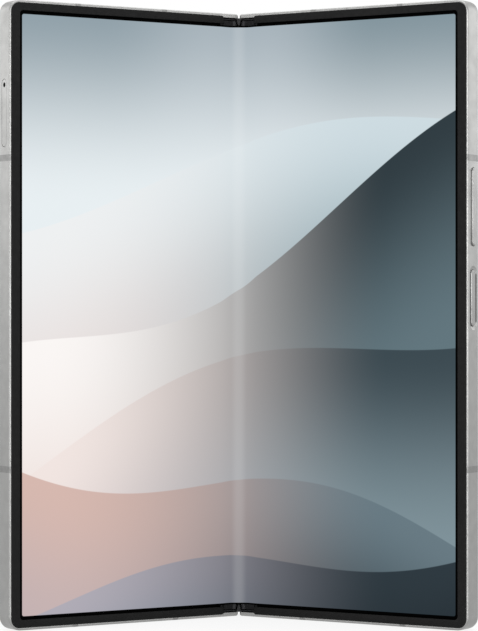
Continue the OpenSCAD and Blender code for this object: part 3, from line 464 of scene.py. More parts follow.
def cover_display(name, color, roughness):
    """The cover display behind its glass: a black border, the dark panel inside it, and the small
    camera's ring and lens."""
    border, surround = (0.0015, 0.0015, 0.0015, 1), (0.0008, 0.0008, 0.0008, 1)
    iris, pupil = linear(38, 40, 50), linear(10, 8, 22)
    panel_corner, edge = 2.4, 0.05
    half = HALVES["left"]
    sockets = {"Specular IOR Level": 0.2, "Coat Weight": 0.1, "Coat Roughness": 0.02}
    finish = Finish(name, color, 0.0, roughness, sockets)
    out, along = place_on(finish, half)
    low, high = (corner / MM for corner in half.reach("cover_display_panel"))
    middle, reach = (low + high) / 2, (high - low) / 2
    outside = rounded_distance(finish, finish.math("SUBTRACT", out, middle[0]),
                               finish.math("SUBTRACT", along, middle[2]), reach[0], reach[2], panel_corner)
    smears = finish.noise(14, 4, 2.4)
    panel = finish.shades(finish.spread(smears), 0.5, 1.1)
    face = finish.mix(finish.ramp(outside, -edge, edge), panel, border)
    low, high = (corner / MM for corner in half.reach("cover_camera"))
    middle, ring = (low + high) / 2, (high[0] - low[0]) / 2
    squares = [finish.math("POWER", finish.math("SUBTRACT", value, centre), 2)
               for value, centre in ((out, middle[0]), (along, middle[2]))]
    away = finish.math("SQRT", finish.math("ADD", *squares))
    for start, end, inside in ((ring + edge, ring, surround), (0.62 * ring, 0.55 * ring, iris),
                               (0.48 * ring, 0.4 * ring, pupil)):
        face = finish.mix(finish.ramp(away, start, end), face, inside)
    return finish.paint(face).gloss(smears, 0, 0.06).material


def coated_lens(name, color, roughness):
    """Lens glass: almost black, with the violet and green glint of its coating."""
    violet, green = linear(16, 10, 34), linear(14, 34, 30)
    sockets = {"Coat Weight": 0.3, "Coat Roughness": 0.02, "Specular IOR Level": 0.3}
    finish = Finish(name, color, 0.0, roughness, sockets)
    edge = finish.add("LayerWeight", {"Blend": 0.35}).outputs["Facing"]
    bloom = finish.mix(finish.ramp(edge, 0.1, 0.9), violet, green)
    return finish.paint(finish.mix(finish.spread(finish.noise(5)), bloom, (*finish.color, 1))).material


def circuit_board(name, color, roughness):
    """Solder mask over fine square tracks."""
    finish = Finish(name, color, 0.0, roughness, {"Coat Weight": 0.4, "Coat Roughness": 0.15})
    tracks = finish.add("TexVoronoi", {"Vector": finish.here, "Scale": 1 / (0.9 * MM)},
                        distance="CHEBYCHEV", feature="F1").outputs["Distance"]
    lines = finish.ramp(tracks, 0.36, 0.42)
    return finish.paint(finish.shades(lines, 0.75, 1.8)).relief(lines, 0.02).material


def woven_mesh(name, color, roughness):
    """A woven screen: two sets of fine ridges that cross."""
    finish = Finish(name, color, 1.0, roughness)
    weave = finish.math("MULTIPLY", *(finish.wave(1.4, way) for way in ("X", "Y")))
    return finish.tint(weave, 0.25, 1.6).relief(weave, 0.03).material


def gold_film(name, color, roughness):
    """Polyimide film over copper: amber, with the tracks showing as fine lines."""
    finish = Finish(name, color, 0.35, roughness, {"Coat Weight": 0.5, "Coat Roughness": 0.2})
    tracks = finish.wave(2.4, "Z")
    return finish.tint(tracks, 0.7, 1.4).relief(tracks, 0.01).material


# Each material slot of the record: how its finish is made, and its roughness
FINISHES = {
    "polished_aluminium": (blasted_metal, 0.4),
    "antenna_plastic": (matched_plastic, 0.42),
    "bezel_plastic": (moulded_plastic, 0.5),
    "cap_plastic": (cap_plastic, 0.42),
    "plug_plastic": (plug_plastic, 0.45),
    "backing_steel": (ground_metal, 0.4),
    "hinge_steel": (ground_metal, 0.32),
    "gear_steel": (ground_metal, 0.28),
    "spring_steel": (ground_metal, 0.3),
    "screw_steel": (ground_metal, 0.36),
    "washer_bronze": (ground_metal, 0.34),
    "flex_polyimide": (gold_film, 0.35),
    "cover_glass": (cover_display, 0.05),
    "rear_glass": (frosted_glass, 0.38),
    "lens_glass": (coated_lens, 0.05),
    "flash_plastic": (diffusing_plastic, 0.25),
    "panel_black": (dark_glass, 0.2),
    "sensor_black": (moulded_plastic, 0.35),
    "battery_film": (pouch_film, 0.45),
    "board_green": (circuit_board, 0.35),
    "speaker_black": (moulded_plastic, 0.5),
    "mesh_steel": (woven_mesh, 0.4),
    "shield_steel": (blasted_metal, 0.3),
    "coil_copper": (wound_copper, 0.3),
    "switch_gold": (blasted_metal, 0.25),
}


def finish_for(slot):
    """The finish of a material slot, made once, in the user's colour or in the record's."""
    made = bpy.data.materials.get(slot)
    if made and made.get("made_here"):
        return made
    if made:
        made.name = slot + "_plain"
    recorded = {row["slot"]: row["base_color"] for row in frame["record"]["materials"]}
    chosen = bpy.context.scene.phone_finish
    own = {"polished_aluminium": chosen.rail, "antenna_plastic": chosen.band, "bezel_plastic": chosen.bezel,
           "plug_plastic": chosen.plug, "rear_glass": chosen.back}
    make, roughness = FINISHES[slot]
    material = make(slot, own.get(slot, recorded[slot]), roughness)
    material["made_here"] = True
    return material


# ---------------------------- settings


def tone(name, description, *default):
    """A colour that the user may set, as linear red, green and blue."""
    return FloatVectorProperty(name=name, description=description, subtype="COLOR", size=3, min=0, max=1,
                               default=default)


def length(name, description, low, high, default):
    """A length that the user may set: its limits and its default in millimetres."""
    return FloatProperty(name=name, description=description, subtype="DISTANCE", min=low * MM, max=high * MM,
                         default=default * MM)


def amount(name, description, low, high, default, subtype="NONE"):
    """A plain number or a power that the user may set."""
    return FloatProperty(name=name, description=description, subtype=subtype, min=low, max=high,
                         default=default)


class FinishSettings(bpy.types.PropertyGroup):
    rail: tone("Rail metal", "Colour of the frame, keys, tray and spine", 0.292, 0.292, 0.286)
    band: tone("Antenna bands", "Colour of the plastic bands across the rail", 0.195, 0.195, 0.191)
    bezel: tone("Bezel", "Colour of the trim round the inner display", 0.0056, 0.0056, 0.0056)
    plug: tone("Plugs", "Colour of the two plugs in the fold", 0.03, 0.03, 0.031)
    back: tone("Back glass", "Colour of the etched back glass", 0.58, 0.59, 0.61)
    sensor: amount("Key sensor", "Shade of the power key's finger sensor beside the rail", 0.3, 1.5, 0.9)
    # How dark the painted shade on the ring beside the power key's long sides is
    shade_ring: amount("Key pocket", "Shade of the ring beside the power key's long sides", 0.1, 1.5, 0.36)


class ScreenSettings(bpy.types.PropertyGroup):
    brightness: amount("Brightness", "Light given by a white part of the picture", 0, 4, 1)
    border_side: length("Side border", "Black border between the sheet's side and the picture", 0, 5, 1.52)
    border_end: length("End border", "Black border between the sheet's ends and the picture", 0, 5, 1.27)
    # Strength of the painted highlight along the fold's crease, which stands in for the bend's reflection
    crease_highlight: amount("Crease", "How much the fold's crease lightens the picture", 0, 1, 0.09)
    corner: length("Picture corner", "Radius of the picture's corners", 0, 3, 0.5)
    sheet: length("Sheet thickness", "Thickness of the flexible sheet", 0.05, 0.3, 0.2)
    fold_steps: IntProperty(name="Fold steps", description="Columns of the mesh across half the folding zone",
                            min=8, max=120, default=48)


class TrimSettings(bpy.types.PropertyGroup):
    bezel_side: length("Bezel side", "Width of the bezel at the outer side", 2, 2.5, 2.25)
    bezel_end: length("Bezel ends", "Width of the bezel at the two ends", 1.6, 2, 1.96)
    bezel_corner: length("Bezel corner", "Radius of the bezel's outer corners", 1, 3, 2.2)
    bezel_inner_corner: length("Bezel inner corner", "Radius of the bezel's inner corners", 0.3, 2, 0.9)
    bezel_end_round: length("Bezel end rounding", "Radius of the ends beside the fold", 0.1, 0.6, 0.45)
    bezel_round: length("Bezel rounding", "Radius of the bezel's outer edge", 0.02, 0.3, 0.24)
    bezel_crown: length("Bezel crown", "How far the bezel's face rises in the middle", 0, 0.1, 0.03)
    key_round: length("Key rounding", "Radius round the face of a key", 0.02, 0.5, 0.3)
    power_slimmer: length("Power key slimming", "Room beside the power key on each side", 0, 0.4, 0.24)
    power_proud: length("Power key proud", "How far the power key stands over its plain face", 0, 0.2, 0.08)
    # The ring in the power key's pocket is a dark piece of painted shade, laid where the pocket's gap lies in
    # shade
    shade_ring_clearance: length("Seal clearance", "Gap between the power key and the ring in its pocket",
                           0.02, 0.2, 0.05)
    shade_ring_width: length("Seal width", "Width of the ring in the power key's pocket", 0.1, 0.8, 0.55)
    shade_ring_depth: length("Seal depth", "How deep the ring slopes down towards the key", 0.1, 0.5, 0.27)
    shade_ring_end: length("Seal end", "How much longer than the key the ring is at each end", 0, 0.35, 0.35)
    island_round: length("Island rounding", "Radius round the camera island's face", 0.1, 1, 0.45)
    island_skirt: length("Island skirt", "How far it is drawn in under the back glass", 0.45, 1, 0.5)
    lens_opening: amount("Lens opening", "Clear share of each lens window's radius", 0.3, 0.9, 0.6)
    cap_groove: length("Cap groove", "Width and depth of the groove along each fold cap", 0, 0.3, 0.2)
    cap_band: length("Cap band", "Width of the band between a cap's end and its groove", 0.1, 1, 0.28)
    cap_drop: length("Cap band drop", "How much lower the band is than the rest", 0.28, 0.4, 0.33)
    cap_round: length("Cap rounding", "Radius of a fold cap's edges", 0.01, 0.06, 0.05)
    cap_recess: length("Cap hollow", "How far a cap's nose is hollowed beside the plug", 0, 0.6, 0.2)
    # The gap is closed by each cap's neck, which its finish paints dark as shade
    cap_start: length("Cap start", "Width of the dark gap between the rail and a fold cap", 0, 0.4, 0.14)
    cap_neck: length("Cap neck", "How far the neck of a fold cap goes in to the rail", 0, 0.15, 0.12)
    cap_gap: length("Cap gap", "Width of the gap round the bezel's end", 0.1, 0.5, 0.28)
    cap_step: length("Cap step", "How far a cap steps down under the bezel's end", 0, 0.4, 0.36)


class StudioSettings(bpy.types.PropertyGroup):
    lens: amount("Lens", "Focal length of the camera, in millimetres", 20, 400, 158.03)
    distance: length("Camera distance", "From the camera to the fold's middle plane", 200, 3000, 691.76)
    slide: amount("Frame slide", "Sideways shift as a share of the picture's height", -0.1, 0.1, 0.0003)
    rise: amount("Frame rise", "Upward shift as a share of the picture's height", -0.1, 0.1, -0.00068)
    front_light: amount("Front light", "Power of the soft light behind the camera", 0, 100, 5.5, "POWER")
    top_light: amount("Top light", "Power of the overhead soft light", 0, 100, 6, "POWER")
    strip_light: amount("Strip lights", "Power of each light beside and behind", 0, 100, 0.5, "POWER")
    side_light: amount("Side lights", "Power of each light in front and beside", 0, 100, 1.4, "POWER")
    room_light: amount("Room light", "Level of the even light from all round", 0, 2, 0.45)


# ---------------------------- the picture on the screen

# Rolling dunes from far to near: (base, slope, swell, waves, phase, depth) in shares of half the
# picture's height, then the colours of the crest at the left and right and of the foot at the left
# and right. A crest is the line base + slope x + swell sin(waves x + phase), and the colour runs
# from the crest down to the foot over the depth.
DUNES = [
    ((0.50, 0.16, 0.10, 2.6, 0.9, 0.55), (238, 240, 241), (205, 219, 225), (232, 224, 222), (150, 172, 180)),
    ((0.20, 0.42, 0.12, 3.0, -1.2, 0.75), (250, 246, 244), (48, 60, 66), (236, 222, 217), (98, 118, 126)),
    ((-0.26, 0.30, 0.13, 2.5, 1.9, 0.70), (241, 229, 225), (60, 74, 81), (205, 196, 198), (128, 147, 155)),
    ((-0.60, -0.20, 0.10, 3.1, 0.4, 0.5), (214, 184, 175), (104, 122, 131), (196, 178, 178), (56, 68, 75)),
    ((-0.86, 0.12, 0.06, 3.6, 2.4, 0.3), (176, 172, 182), (46, 57, 64), (150, 158, 172), (38, 47, 53)),
]
DUNE_LEFT, DUNE_RIGHT, DUNE_EDGE = -0.75, 0.6, 0.004
SKY = dict(left=(142, 158, 167), right=(128, 146, 155), middle=(166, 178, 186), low=(232, 239, 242))
# The colour of the painted highlight along the crease
CREASE_HIGHLIGHT = (250, 252, 253)

# The sky's shares of half the picture's height over which it turns from left to right, from the
# middle to a side, and from high to low
SKY_TURN, SKY_SIDE, SKY_FALL = (-0.3, 0.3), (0.1, 0.55), (1.05, 0.35)
# The radius of the sheet's corners, and in millimetres how far the painted highlight along the crease and the
# picture's edge fade
SHEET_CORNER = 1.8 * MM
CREASE_HIGHLIGHT_END, CREASE_HIGHLIGHT_START, PICTURE_EDGE = 2.6, 0.2, 0.03


def dune(finish, x, y, below, line, *colours):
    """One dune laid over the colours below it."""
    base, slope, swell, waves, phase, depth = line
    crest_left, crest_right, foot_left, foot_right = (linear(*colour) for colour in colours)
    straight = finish.math("MULTIPLY_ADD", x, slope, base)
    wave = finish.math("SINE", finish.math("MULTIPLY_ADD", x, waves, phase))
    down = finish.math("SUBTRACT", finish.math("MULTIPLY_ADD", wave, swell, straight), y)
    across = finish.ramp(x, DUNE_LEFT, DUNE_RIGHT)
    body = finish.mix(finish.ramp(down, 0, depth), finish.mix(across, crest_left, crest_right),
                      finish.mix(across, foot_left, foot_right))
    return finish.mix(finish.ramp(down, 0, DUNE_EDGE), below, body)


def screen_picture(width, height, settings):
    """The lit screen under its glossy film. Its picture is drawn in the sheet's flat coordinates, inside a rounded
    border, with a painted highlight along the fold's crease where the bend would reflect light, and the film's
    smears are sized in thousandths of the sheet."""
    black, roughness, smear_size = (0.001, 0.001, 0.001), 0.12, 80
    finish = Finish("screen_picture", black, 0.0, roughness, {"Specular IOR Level": 0.002}, "UV")
    flat = finish.add("SeparateXYZ", {"Vector": finish.here}).outputs
    x_mm, y_mm = (finish.math("MULTIPLY", finish.math("SUBTRACT", flat[k], 0.5), size / MM)
                  for k, size in enumerate((width, height)))
    x, y = (finish.math("DIVIDE", value, height / MM / 2) for value in (x_mm, y_mm))
    sides = finish.mix(finish.ramp(x, *SKY_TURN), linear(*SKY["left"]), linear(*SKY["right"]))
    sky = finish.mix(finish.ramp(finish.math("ABSOLUTE", x), *SKY_SIDE), linear(*SKY["middle"]), sides)
    picture = finish.mix(finish.ramp(y, *SKY_FALL), sky, linear(*SKY["low"]))
    for line_and_colours in DUNES:
        picture = dune(finish, x, y, picture, *line_and_colours)
    # Painted highlight: the picture is lightened along the fold's crease, standing in for the bend's reflection
    crease_highlight = finish.ramp(finish.math("ABSOLUTE", x_mm), CREASE_HIGHLIGHT_END, CREASE_HIGHLIGHT_START, 0, settings.crease_highlight)
    picture = finish.mix(crease_highlight, picture, linear(*CREASE_HIGHLIGHT))
    edge = rounded_distance(finish, x_mm, y_mm, (width / 2 - settings.border_side) / MM,
                            (height / 2 - settings.border_end) / MM, settings.corner / MM)
    lit = finish.mix(finish.ramp(edge, -PICTURE_EDGE, PICTURE_EDGE), picture, (0, 0, 0, 1))
    finish.set(finish.shader, {"Emission Color": lit, "Emission Strength": settings.brightness})
    return finish.gloss(finish.noise(smear_size), -0.02, 0.04).material


def display_skin(half, settings):
    """One half of the flexible sheet, with its flat size and the width of the folding zone. In the
    zone a point at a share s of its width is its flat place turned about the hinge axis by
    3 s^2 - 2 s^3 of the half's fold; past the zone it lies flat on the half. The sheet's corners
    are quarter circles: r - sqrt(r^2 - p^2) short of the end where it is p past the corner's start."""
    rows, flat_columns, corner_columns = 121, 64, 12
    low, high = half.reach("flexible_display_" + half.side)
    top = high[1]
    fold_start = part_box("flexible_display_fold")[0][2]
    zone = half.place(np.array(low[0]), top, 0)[0] * half.mirror
    axis = half.hinge[0] * half.mirror
    share = np.linspace(0, 1, settings.fold_steps + 1)
    angle = half.fold * smooth(share)
    bent = (share * zone - axis + top * np.sin(angle)) / np.cos(angle)
    corner_start = high[0] - SHEET_CORNER
    flat = np.linspace(low[0] + 0.02 * MM, high[0], flat_columns)
    corner = corner_start + SHEET_CORNER * np.sin(np.linspace(0, QUARTER, corner_columns))
    flat = np.unique(np.concatenate([flat[flat < corner_start], corner]))
    out = np.concatenate([bent, flat])
    angle = np.concatenate([angle, np.full(len(flat), half.fold)])
    past = np.clip(out - corner_start, 0, SHEET_CORNER)
    inset = SHEET_CORNER - np.sqrt(SHEET_CORNER ** 2 - past ** 2)
    inset[:len(bent)] = fold_start - low[2]
    along = (low[2] + inset)[:, None] + np.linspace(0, 1, rows) * (high[2] - low[2] - 2 * inset)[:, None]
    x = half.mirror * (axis + out * np.cos(angle) - top * np.sin(angle))
    y = half.hinge[1] - out * np.sin(angle) - top * np.cos(angle)
    points = np.stack(np.broadcast_arrays(x[:, None], y[:, None], along), -1)
    quads = ring_faces(*along.shape, wrap=False)[:, ::-half.mirror]
    skin = make_object(half.side + "_display_skin", points.reshape(-1, 3), [quads], sharp=60)
    width, height = 2 * (high[0] + axis), high[2] - low[2]
    across = (half.mirror * (out + axis) / width + 0.5)[:, None]
    uv = np.stack(np.broadcast_arrays(across, (along - low[2]) / height), -1)
    corners = np.empty(len(skin.data.loops), np.int32)
    skin.data.loops.foreach_get("vertex_index", corners)
    layer = skin.data.uv_layers.new(name="Flat")
    layer.data.foreach_set("uv", uv.reshape(-1, 2)[corners].ravel())
    thick = skin.modifiers.new("Sheet", "SOLIDIFY")
    thick.thickness = settings.sheet
    thick.offset = -1
    return skin, width, height, zone


class PHONE_OT_display(bpy.types.Operator):
    """Make the flexible sheet of each half, which bends from the spine to the half"""
    bl_idname = "phone.display"
    bl_label = "Flexible display"

    def execute(self, context):
        settings = context.scene.phone_screen
        for side, nodes in (("left", ["flexible_display_left"]),
                            ("right", ["flexible_display_right", "flexible_display_fold"])):
            half = HALVES[side]
            skin, width, height, zone = display_skin(half, settings)
            picture = bpy.data.materials.get("screen_picture") or screen_picture(width, height, settings)
            skin.data.materials.append(picture)
            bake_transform(skin)
            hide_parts(*nodes)
        return {"FINISHED"}


# ---------------------------- bezel


def bezel_path(low, high, side_w, end_w, radius, end_round, outer):
    """Stations (out, along) of one edge of the bezel's lower half, from its hinge end to the middle
    of the long side. Near the hinge end the two edges close in along a quarter circle."""
    nose_steps, run_steps, corner_steps, side_steps = 7, 12, 17, 20
    inset_out, inset_along = (0, 0) if outer else (side_w, end_w)
    toward = 1 if outer else -1
    nose_out, nose_along = rounding(end_round, nose_steps).T
    nose_out = low[0] + nose_out
    nose_along = low[2] + inset_along + toward * nose_along
    corner_out = high[0] - inset_out - radius
    corner_along = low[2] + inset_along + radius
    run_out = np.linspace(nose_out[-1], corner_out, run_steps)[1:-1]
    sweep = np.linspace(-QUARTER, 0, corner_steps)
    arc_out = corner_out + radius * np.cos(sweep)
    arc_along = corner_along + radius * np.sin(sweep)
    side_along = np.linspace(corner_along, (low[2] + high[2]) / 2, side_steps)[1:]
    out = np.concatenate([nose_out, run_out, arc_out, np.full(len(side_along), high[0] - inset_out)])
    along = np.concatenate([nose_along, np.full(len(run_out), low[2] + inset_along), arc_along, side_along])
    return np.stack([out, along], -1)


def bezel_section(width, height, edge, crown):
    """The bezel's section as (share across from the inner edge, height): a low crown between two
    rounded edges, the outer one larger."""
    inner_share, foot_share, steps = 0.5, 0.4, 6
    top = height - crown
    inner = rounding(edge * inner_share, steps)
    outer = rounding(edge, steps)[:, ::-1]
    across = np.concatenate([[0.0, 0.0], inner[:, 0], width - outer[:, 0], [width]])
    rise = np.concatenate([[0.0, top * foot_share], top - inner[:, 1], top - outer[:, 1], [0.0]])
    middle = np.sin(np.clip(across / width, 0, 1) * math.pi)
    return across / width, rise + crown * middle * (rise > 0)


class PHONE_OT_bezels(bpy.types.Operator):
    """Make the trim round the inner display of each half"""
    bl_idname = "phone.bezels"
    bl_label = "Bezels"

    def execute(self, context):
        trim = context.scene.phone_trim
        for half in HALVES.values():
            node = half.side + "_bezel"
            low, high = half.reach(node)
            edges = []
            for radius, is_outer in ((trim.bezel_corner, True), (trim.bezel_inner_corner, False)):
                path = bezel_path(low, high, trim.bezel_side, trim.bezel_end, radius, trim.bezel_end_round,
                                  is_outer)
                mirrored = (path * [1, -1] + [0, low[2] + high[2]])[-2::-1]
                edges.append(np.concatenate([path, mirrored]))
            outer, inner = edges
            height = high[1] - low[1]
            across, rise = bezel_section(trim.bezel_side, height, trim.bezel_round, trim.bezel_crown)
            path = inner[:, None] + across[:, None] * (outer - inner)[:, None]
            rings = half.place(path[..., 0], low[1] + rise, path[..., 1])
            finish_piece(loft(half.side + "_bezel_trim", rings, sharp=40), half.body, "bezel_plastic", node)
        return {"FINISHED"}


# ---------------------------- keys

# A key's flange, behind the rail: how thick it is, and how far it stands past the key's stem
FLANGE, FLANGE_END, FLANGE_SIDE = 0.6 * MM, 0.5 * MM, 0.2 * MM


def key_rings(half, node, radius, slimmer, proud):
    """A key from its flange to its face: slot outlines carried outwards, the last ones drawn in
    along a quarter circle and then over the flat face to a line down the middle."""
    edge_steps, over_steps, last_share = 7, 6, 0.96
    low, high = half.reach(node)
    middle, face, back = (low + high) / 2, high[0] + proud, low[0]
    flange = np.array([high[2] - low[2], high[1] - low[1]])
    stem = flange - 2 * np.array([FLANGE_END, FLANGE_SIDE + slimmer])
    quarter = rounding(radius, edge_steps)
    over = radius + (stem[1] / 2 - radius) * np.linspace(0, last_share, over_steps)[1:]
    inset = np.concatenate([np.zeros(3), quarter[:, 0], over])
    front = back + FLANGE
    out = np.concatenate([[back, front, front], face - quarter[:, 1], np.full(len(over), face)])
    size = np.array([flange, flange] + [stem] * (len(inset) - 2)) - 2 * inset[:, None]
    across, along = stadium(*size.T, steps=14)
    return half.place(out[:, None], middle[1] + across, middle[2] + along)


def shade_ring_outlines(half, node, trim):
    """A dark ring of painted shade laid in the sloping pocket of a key, where the pocket's gap lies in shade: slot
    outlines carried up its slope, from the key's stem to just under the rail's face, and back underneath."""
    low, high = half.reach(node)
    middle, wall, lip = (low + high) / 2, half.reach("right_frame")[1][0], 0.012 * MM
    stem = (high[1] - low[1]) / 2 - FLANGE_SIDE
    straight = (high[2] - low[2]) / 2 - FLANGE_END - stem + trim.shade_ring_end
    inner = stem - trim.power_slimmer + trim.shade_ring_clearance
    outer = stem + trim.shade_ring_clearance + trim.shade_ring_width
    floor, under = wall - trim.shade_ring_depth, wall - 2 * trim.shade_ring_depth
    radius = np.array([inner, outer - trim.shade_ring_width, outer, outer, inner])
    out = np.array([floor, floor, wall - lip, under, under])
    across, along = stadium(2 * (straight + radius), 2 * radius, steps=24)
    return half.place(out[:, None], middle[1] + across, middle[2] + along)


def key_metal(name, plain, dark, where):
    """The rail's metal with a fine grain between two shades of its colour, and between two others
    where a pattern of the finish is 1."""
    finish = Finish(name, bpy.context.scene.phone_finish.rail, 1.0, 0.42)
    grain = finish.spread(finish.noise(1.2))
    finish.paint(finish.mix(where(finish), finish.shades(grain, *plain), finish.shades(grain, *dark)))
    return finish.relief(finish.noise(0.12, 2), 0.002).material


def shade_ring_finish(half, node, share):
    """The ring's metal: darker beside the long sides of the key as painted shade, and as the rail is at its ends.
    """
    ends, fade = 1.7, 0.6
    low, high = half.reach(node)[0][2] / MM, half.reach(node)[1][2] / MM
    start = (high - low) / 2 - ends

    def beside(finish):
        away = finish.gap(place_on(finish, half)[1], (low + high) / 2)
        return finish.ramp(away, start + fade, start)

    return key_metal("key_seal", (1, 1), (0.95 * share, 1.05 * share), beside)


def sensor_finish(half, node, proud, share):
    """The power key's metal, with the darker coat of its finger sensor on the flat face."""
    under, level = 0.03, 0.005
    face = (half.reach(node)[1][0] + proud) / MM

    def on_face(finish):
        return finish.ramp(place_on(finish, half)[0], face - under, face - level)

    return key_metal("key_sensor", (0.97, 1.03), (0.97 * share, 1.03 * share), on_face)


class PHONE_OT_keys(bpy.types.Operator):
    """Make the volume key and the power key, with the dark ring of painted shade in the power key's pocket"""
    bl_idname = "phone.keys"
    bl_label = "Keys"

    def execute(self, context):
        half = HALVES["right"]
        trim, chosen = context.scene.phone_trim, context.scene.phone_finish
        for node, slimmer, proud in (("volume_key", 0, 0),
                                     ("power_key", trim.power_slimmer, trim.power_proud)):
            rings = key_rings(half, node, trim.key_round, slimmer, proud)
            key = loft(node + "_button", rings, sharp=40)
            finish_piece(key, node, "polished_aluminium", node)
        key.data.materials[0] = sensor_finish(half, node, trim.power_proud, chosen.sensor)
        # Painted shade: a dark ring in the power key's pocket, where the gap lies in shade
        shade_ring = tube("power_key_seal", shade_ring_outlines(half, node, trim), sharp=40)
        finish_piece(shade_ring, half.body, "polished_aluminium")
        shade_ring.data.materials[0] = shade_ring_finish(half, node, chosen.shade_ring)
        return {"FINISHED"}


# ---------------------------- rear cameras


def island_rings(half, trim):
    """The camera island: slot outlines carried from under the back glass outwards, then drawn in
    along a quarter circle round its face."""
    low, high = half.reach("camera_island")
    middle, length, width = (low + high) / 2, high[2] - low[2], high[0] - low[0]
    skirt, ledge, face_inset = trim.island_skirt, half.reach("rear_glass")[0][1], 0.47 * width
    quarter = rounding(trim.island_round, steps=9)
    inset = np.concatenate([[skirt, skirt, 0], quarter[:, 0], [face_inset]])
    up = np.concatenate([[high[1], ledge, ledge], low[1] + quarter[:, 1], [low[1]]])
    across, along = stadium(length - 2 * inset, width - 2 * inset, steps=48)
    return half.place(middle[0] + across, up[:, None], middle[2] + along)


def ring_profile(inner, outer, face, back):
    """A lens ring's section: a chamfered outer wall, a face with three fine round grooves turned in
    it as deep as d sin^2, and a slope down to the glass."""
    chamfer, grooves, depth, points = 0.16 * MM, 3, 0.05 * MM, 8
    slope_start = outer - 0.62 * (outer - inner)
    slope = [(inner + 0.08 * MM, face + 0.3 * MM), (inner, face + 0.42 * MM)]
    lands = np.linspace(outer - chamfer, slope_start, points * grooves + 1)
    wave = np.sin(np.arange(points * grooves + 1) * math.pi / points) ** 2
    turned = np.stack([lands, face + depth * wave], -1)
    return [(inner, back), (outer, back), (outer, face + chamfer), *map(tuple, turned), *slope]


def window_profile(opening, radius, face):
    """A lens window's section: a flat pane with a chamfer round its clear part."""
    chamfer, thick = 0.05 * MM, 0.4 * MM
    return [(opening, face + chamfer), (opening + chamfer, face), (radius, face), (radius, face + thick),
            (opening, face + thick)]


def barrel_profile(radius, element, top, floor):
    """The dark funnel between the lens window and the front element, stepped four times."""
    steps, wall = 4, 0.4 * MM
    radii = np.linspace(radius, element, steps + 1)
    levels = np.linspace(top, floor, steps + 1)
    treads = [(r, level) for k, level in enumerate(levels[:-1]) for r in (radii[k], radii[k + 1])]
    return [(0, floor + wall), (radius, floor + wall), *treads, (element, floor), (0, floor)]


def dome_profile(radius, edge, crown, back):
    """A front element: a cap whose height over its edge is crown (1 - r^2), for r in shares."""
    share = np.linspace(1, 0, 12)
    return [(0, back), (radius, back), *zip(radius * share, edge - crown * (1 - share * share))]


def flash_profile(radius, face, back):
    """The flash window: a low dome of height d (1 - r^2) with five rings of |sin| pressed in it."""
    dome, depth, rings = 0.06 * MM, 0.05 * MM, 5
    share = np.linspace(1, 0, 33)
    up = face - dome * (1 - share * share) + depth * np.abs(np.sin(share * rings * math.pi))
    return [(0, back), (radius, back), *zip(radius * share, up)]


class PHONE_OT_cameras(bpy.types.Operator):
    """Make the rear camera island, its rings and lenses, and the flash"""
    bl_idname = "phone.cameras"
    bl_label = "Rear cameras"

    def execute(self, context):
        half = HALVES["right"]
        trim = context.scene.phone_trim
        island = loft("camera_island_plate", island_rings(half, trim), sharp=50)
        finish_piece(island, half.body, "polished_aluminium", "camera_island")
        seat, barrel_top, barrel_floor, clearance = 0.1 * MM, 0.1 * MM, 0.75 * MM, 0.02 * MM
        element_share, overlap, crown, thick = 0.55, 0.05 * MM, 0.4 * MM, 0.2 * MM
        fine, plain = (96, 30), (72, 35)
        ring_low, ring_high = half.reach("camera_lens_rings")
        glass_low, glass_high = half.reach("camera_lenses")
        outer, inner = (ring_high[0] - ring_low[0]) / 2, (glass_high[0] - glass_low[0]) / 2
        window, deep = glass_low[1], glass_low[1] + barrel_floor
        opening = trim.lens_opening * inner
        element = element_share * opening
        ring = ring_profile(inner, outer, ring_low[1], half.reach("camera_island")[0][1] + seat)
        pane = window_profile(opening, inner, window)
        barrel = barrel_profile(opening + clearance, element, window + barrel_top, deep)
        front = dome_profile(element + overlap, deep - clearance, crown, deep + thick)
        turned = (("lens_ring", ring, "polished_aluminium", ["camera_lens_rings"], fine),
                  ("lens_window", pane, "lens_glass", ["camera_lenses"], plain),
                  ("lens_barrel", barrel, "sensor_black", [], plain),
                  ("lens_element", front, "lens_glass", [], plain))
        for number, along in enumerate(np.linspace(ring_low[2] + outer, ring_high[2] - outer, 3), 1):
            centre = ((ring_low[0] + ring_high[0]) / 2, along)
            for name, profile, slot, nodes, steps_and_sharp in turned:
                piece = lathe(f"{name}_{number}", half, centre, profile, *steps_and_sharp)
                finish_piece(piece, half.body, slot, *nodes)
        low, high = half.reach("flash_lens")
        middle = (low + high) / 2
        flash = lathe("flash_window", half, (middle[0], middle[2]),
                      flash_profile((high[0] - low[0]) / 2, low[1], high[1]))
        finish_piece(flash, half.body, "flash_plastic", "flash_lens")
        return {"FINISHED"}


# ---------------------------- caps beside the fold


def cap_section(low, high, top_up, step_out, step):
    """The section of a fold cap as places (out, up) under a top at a height. The top steps down
    beside the bezel's end, and the section ends in part of a circle about the hinge axis. Each place
    has the way in which the top is drawn down and a share that tells how far it goes with the nose."""
    steps, bend = 13, 0.6 * step_out
    radius = math.hypot(low[0], low[1])
    turn = np.linspace(math.acos(min(1, top_up / radius)), math.acos(low[1] / radius), steps)
    nose = np.stack([-np.sin(turn), np.cos(turn)], -1)
    side = min(top_up, high[1] - step)
    top = np.array([[high[0], side], [step_out, side], [step_out, top_up], [bend, top_up], [0.0, top_up]])
    under = np.array([[0.0, low[1]], [high[0], low[1]]])
    inward = -np.concatenate([[[0, 1]] * len(top), nose, [[0, 0]] * len(under)])
    share = np.concatenate([[0, 0, 0, 0, 1], np.ones(len(nose)), [1, 0]])
    return np.concatenate([top, nose * radius, under]), inward, share


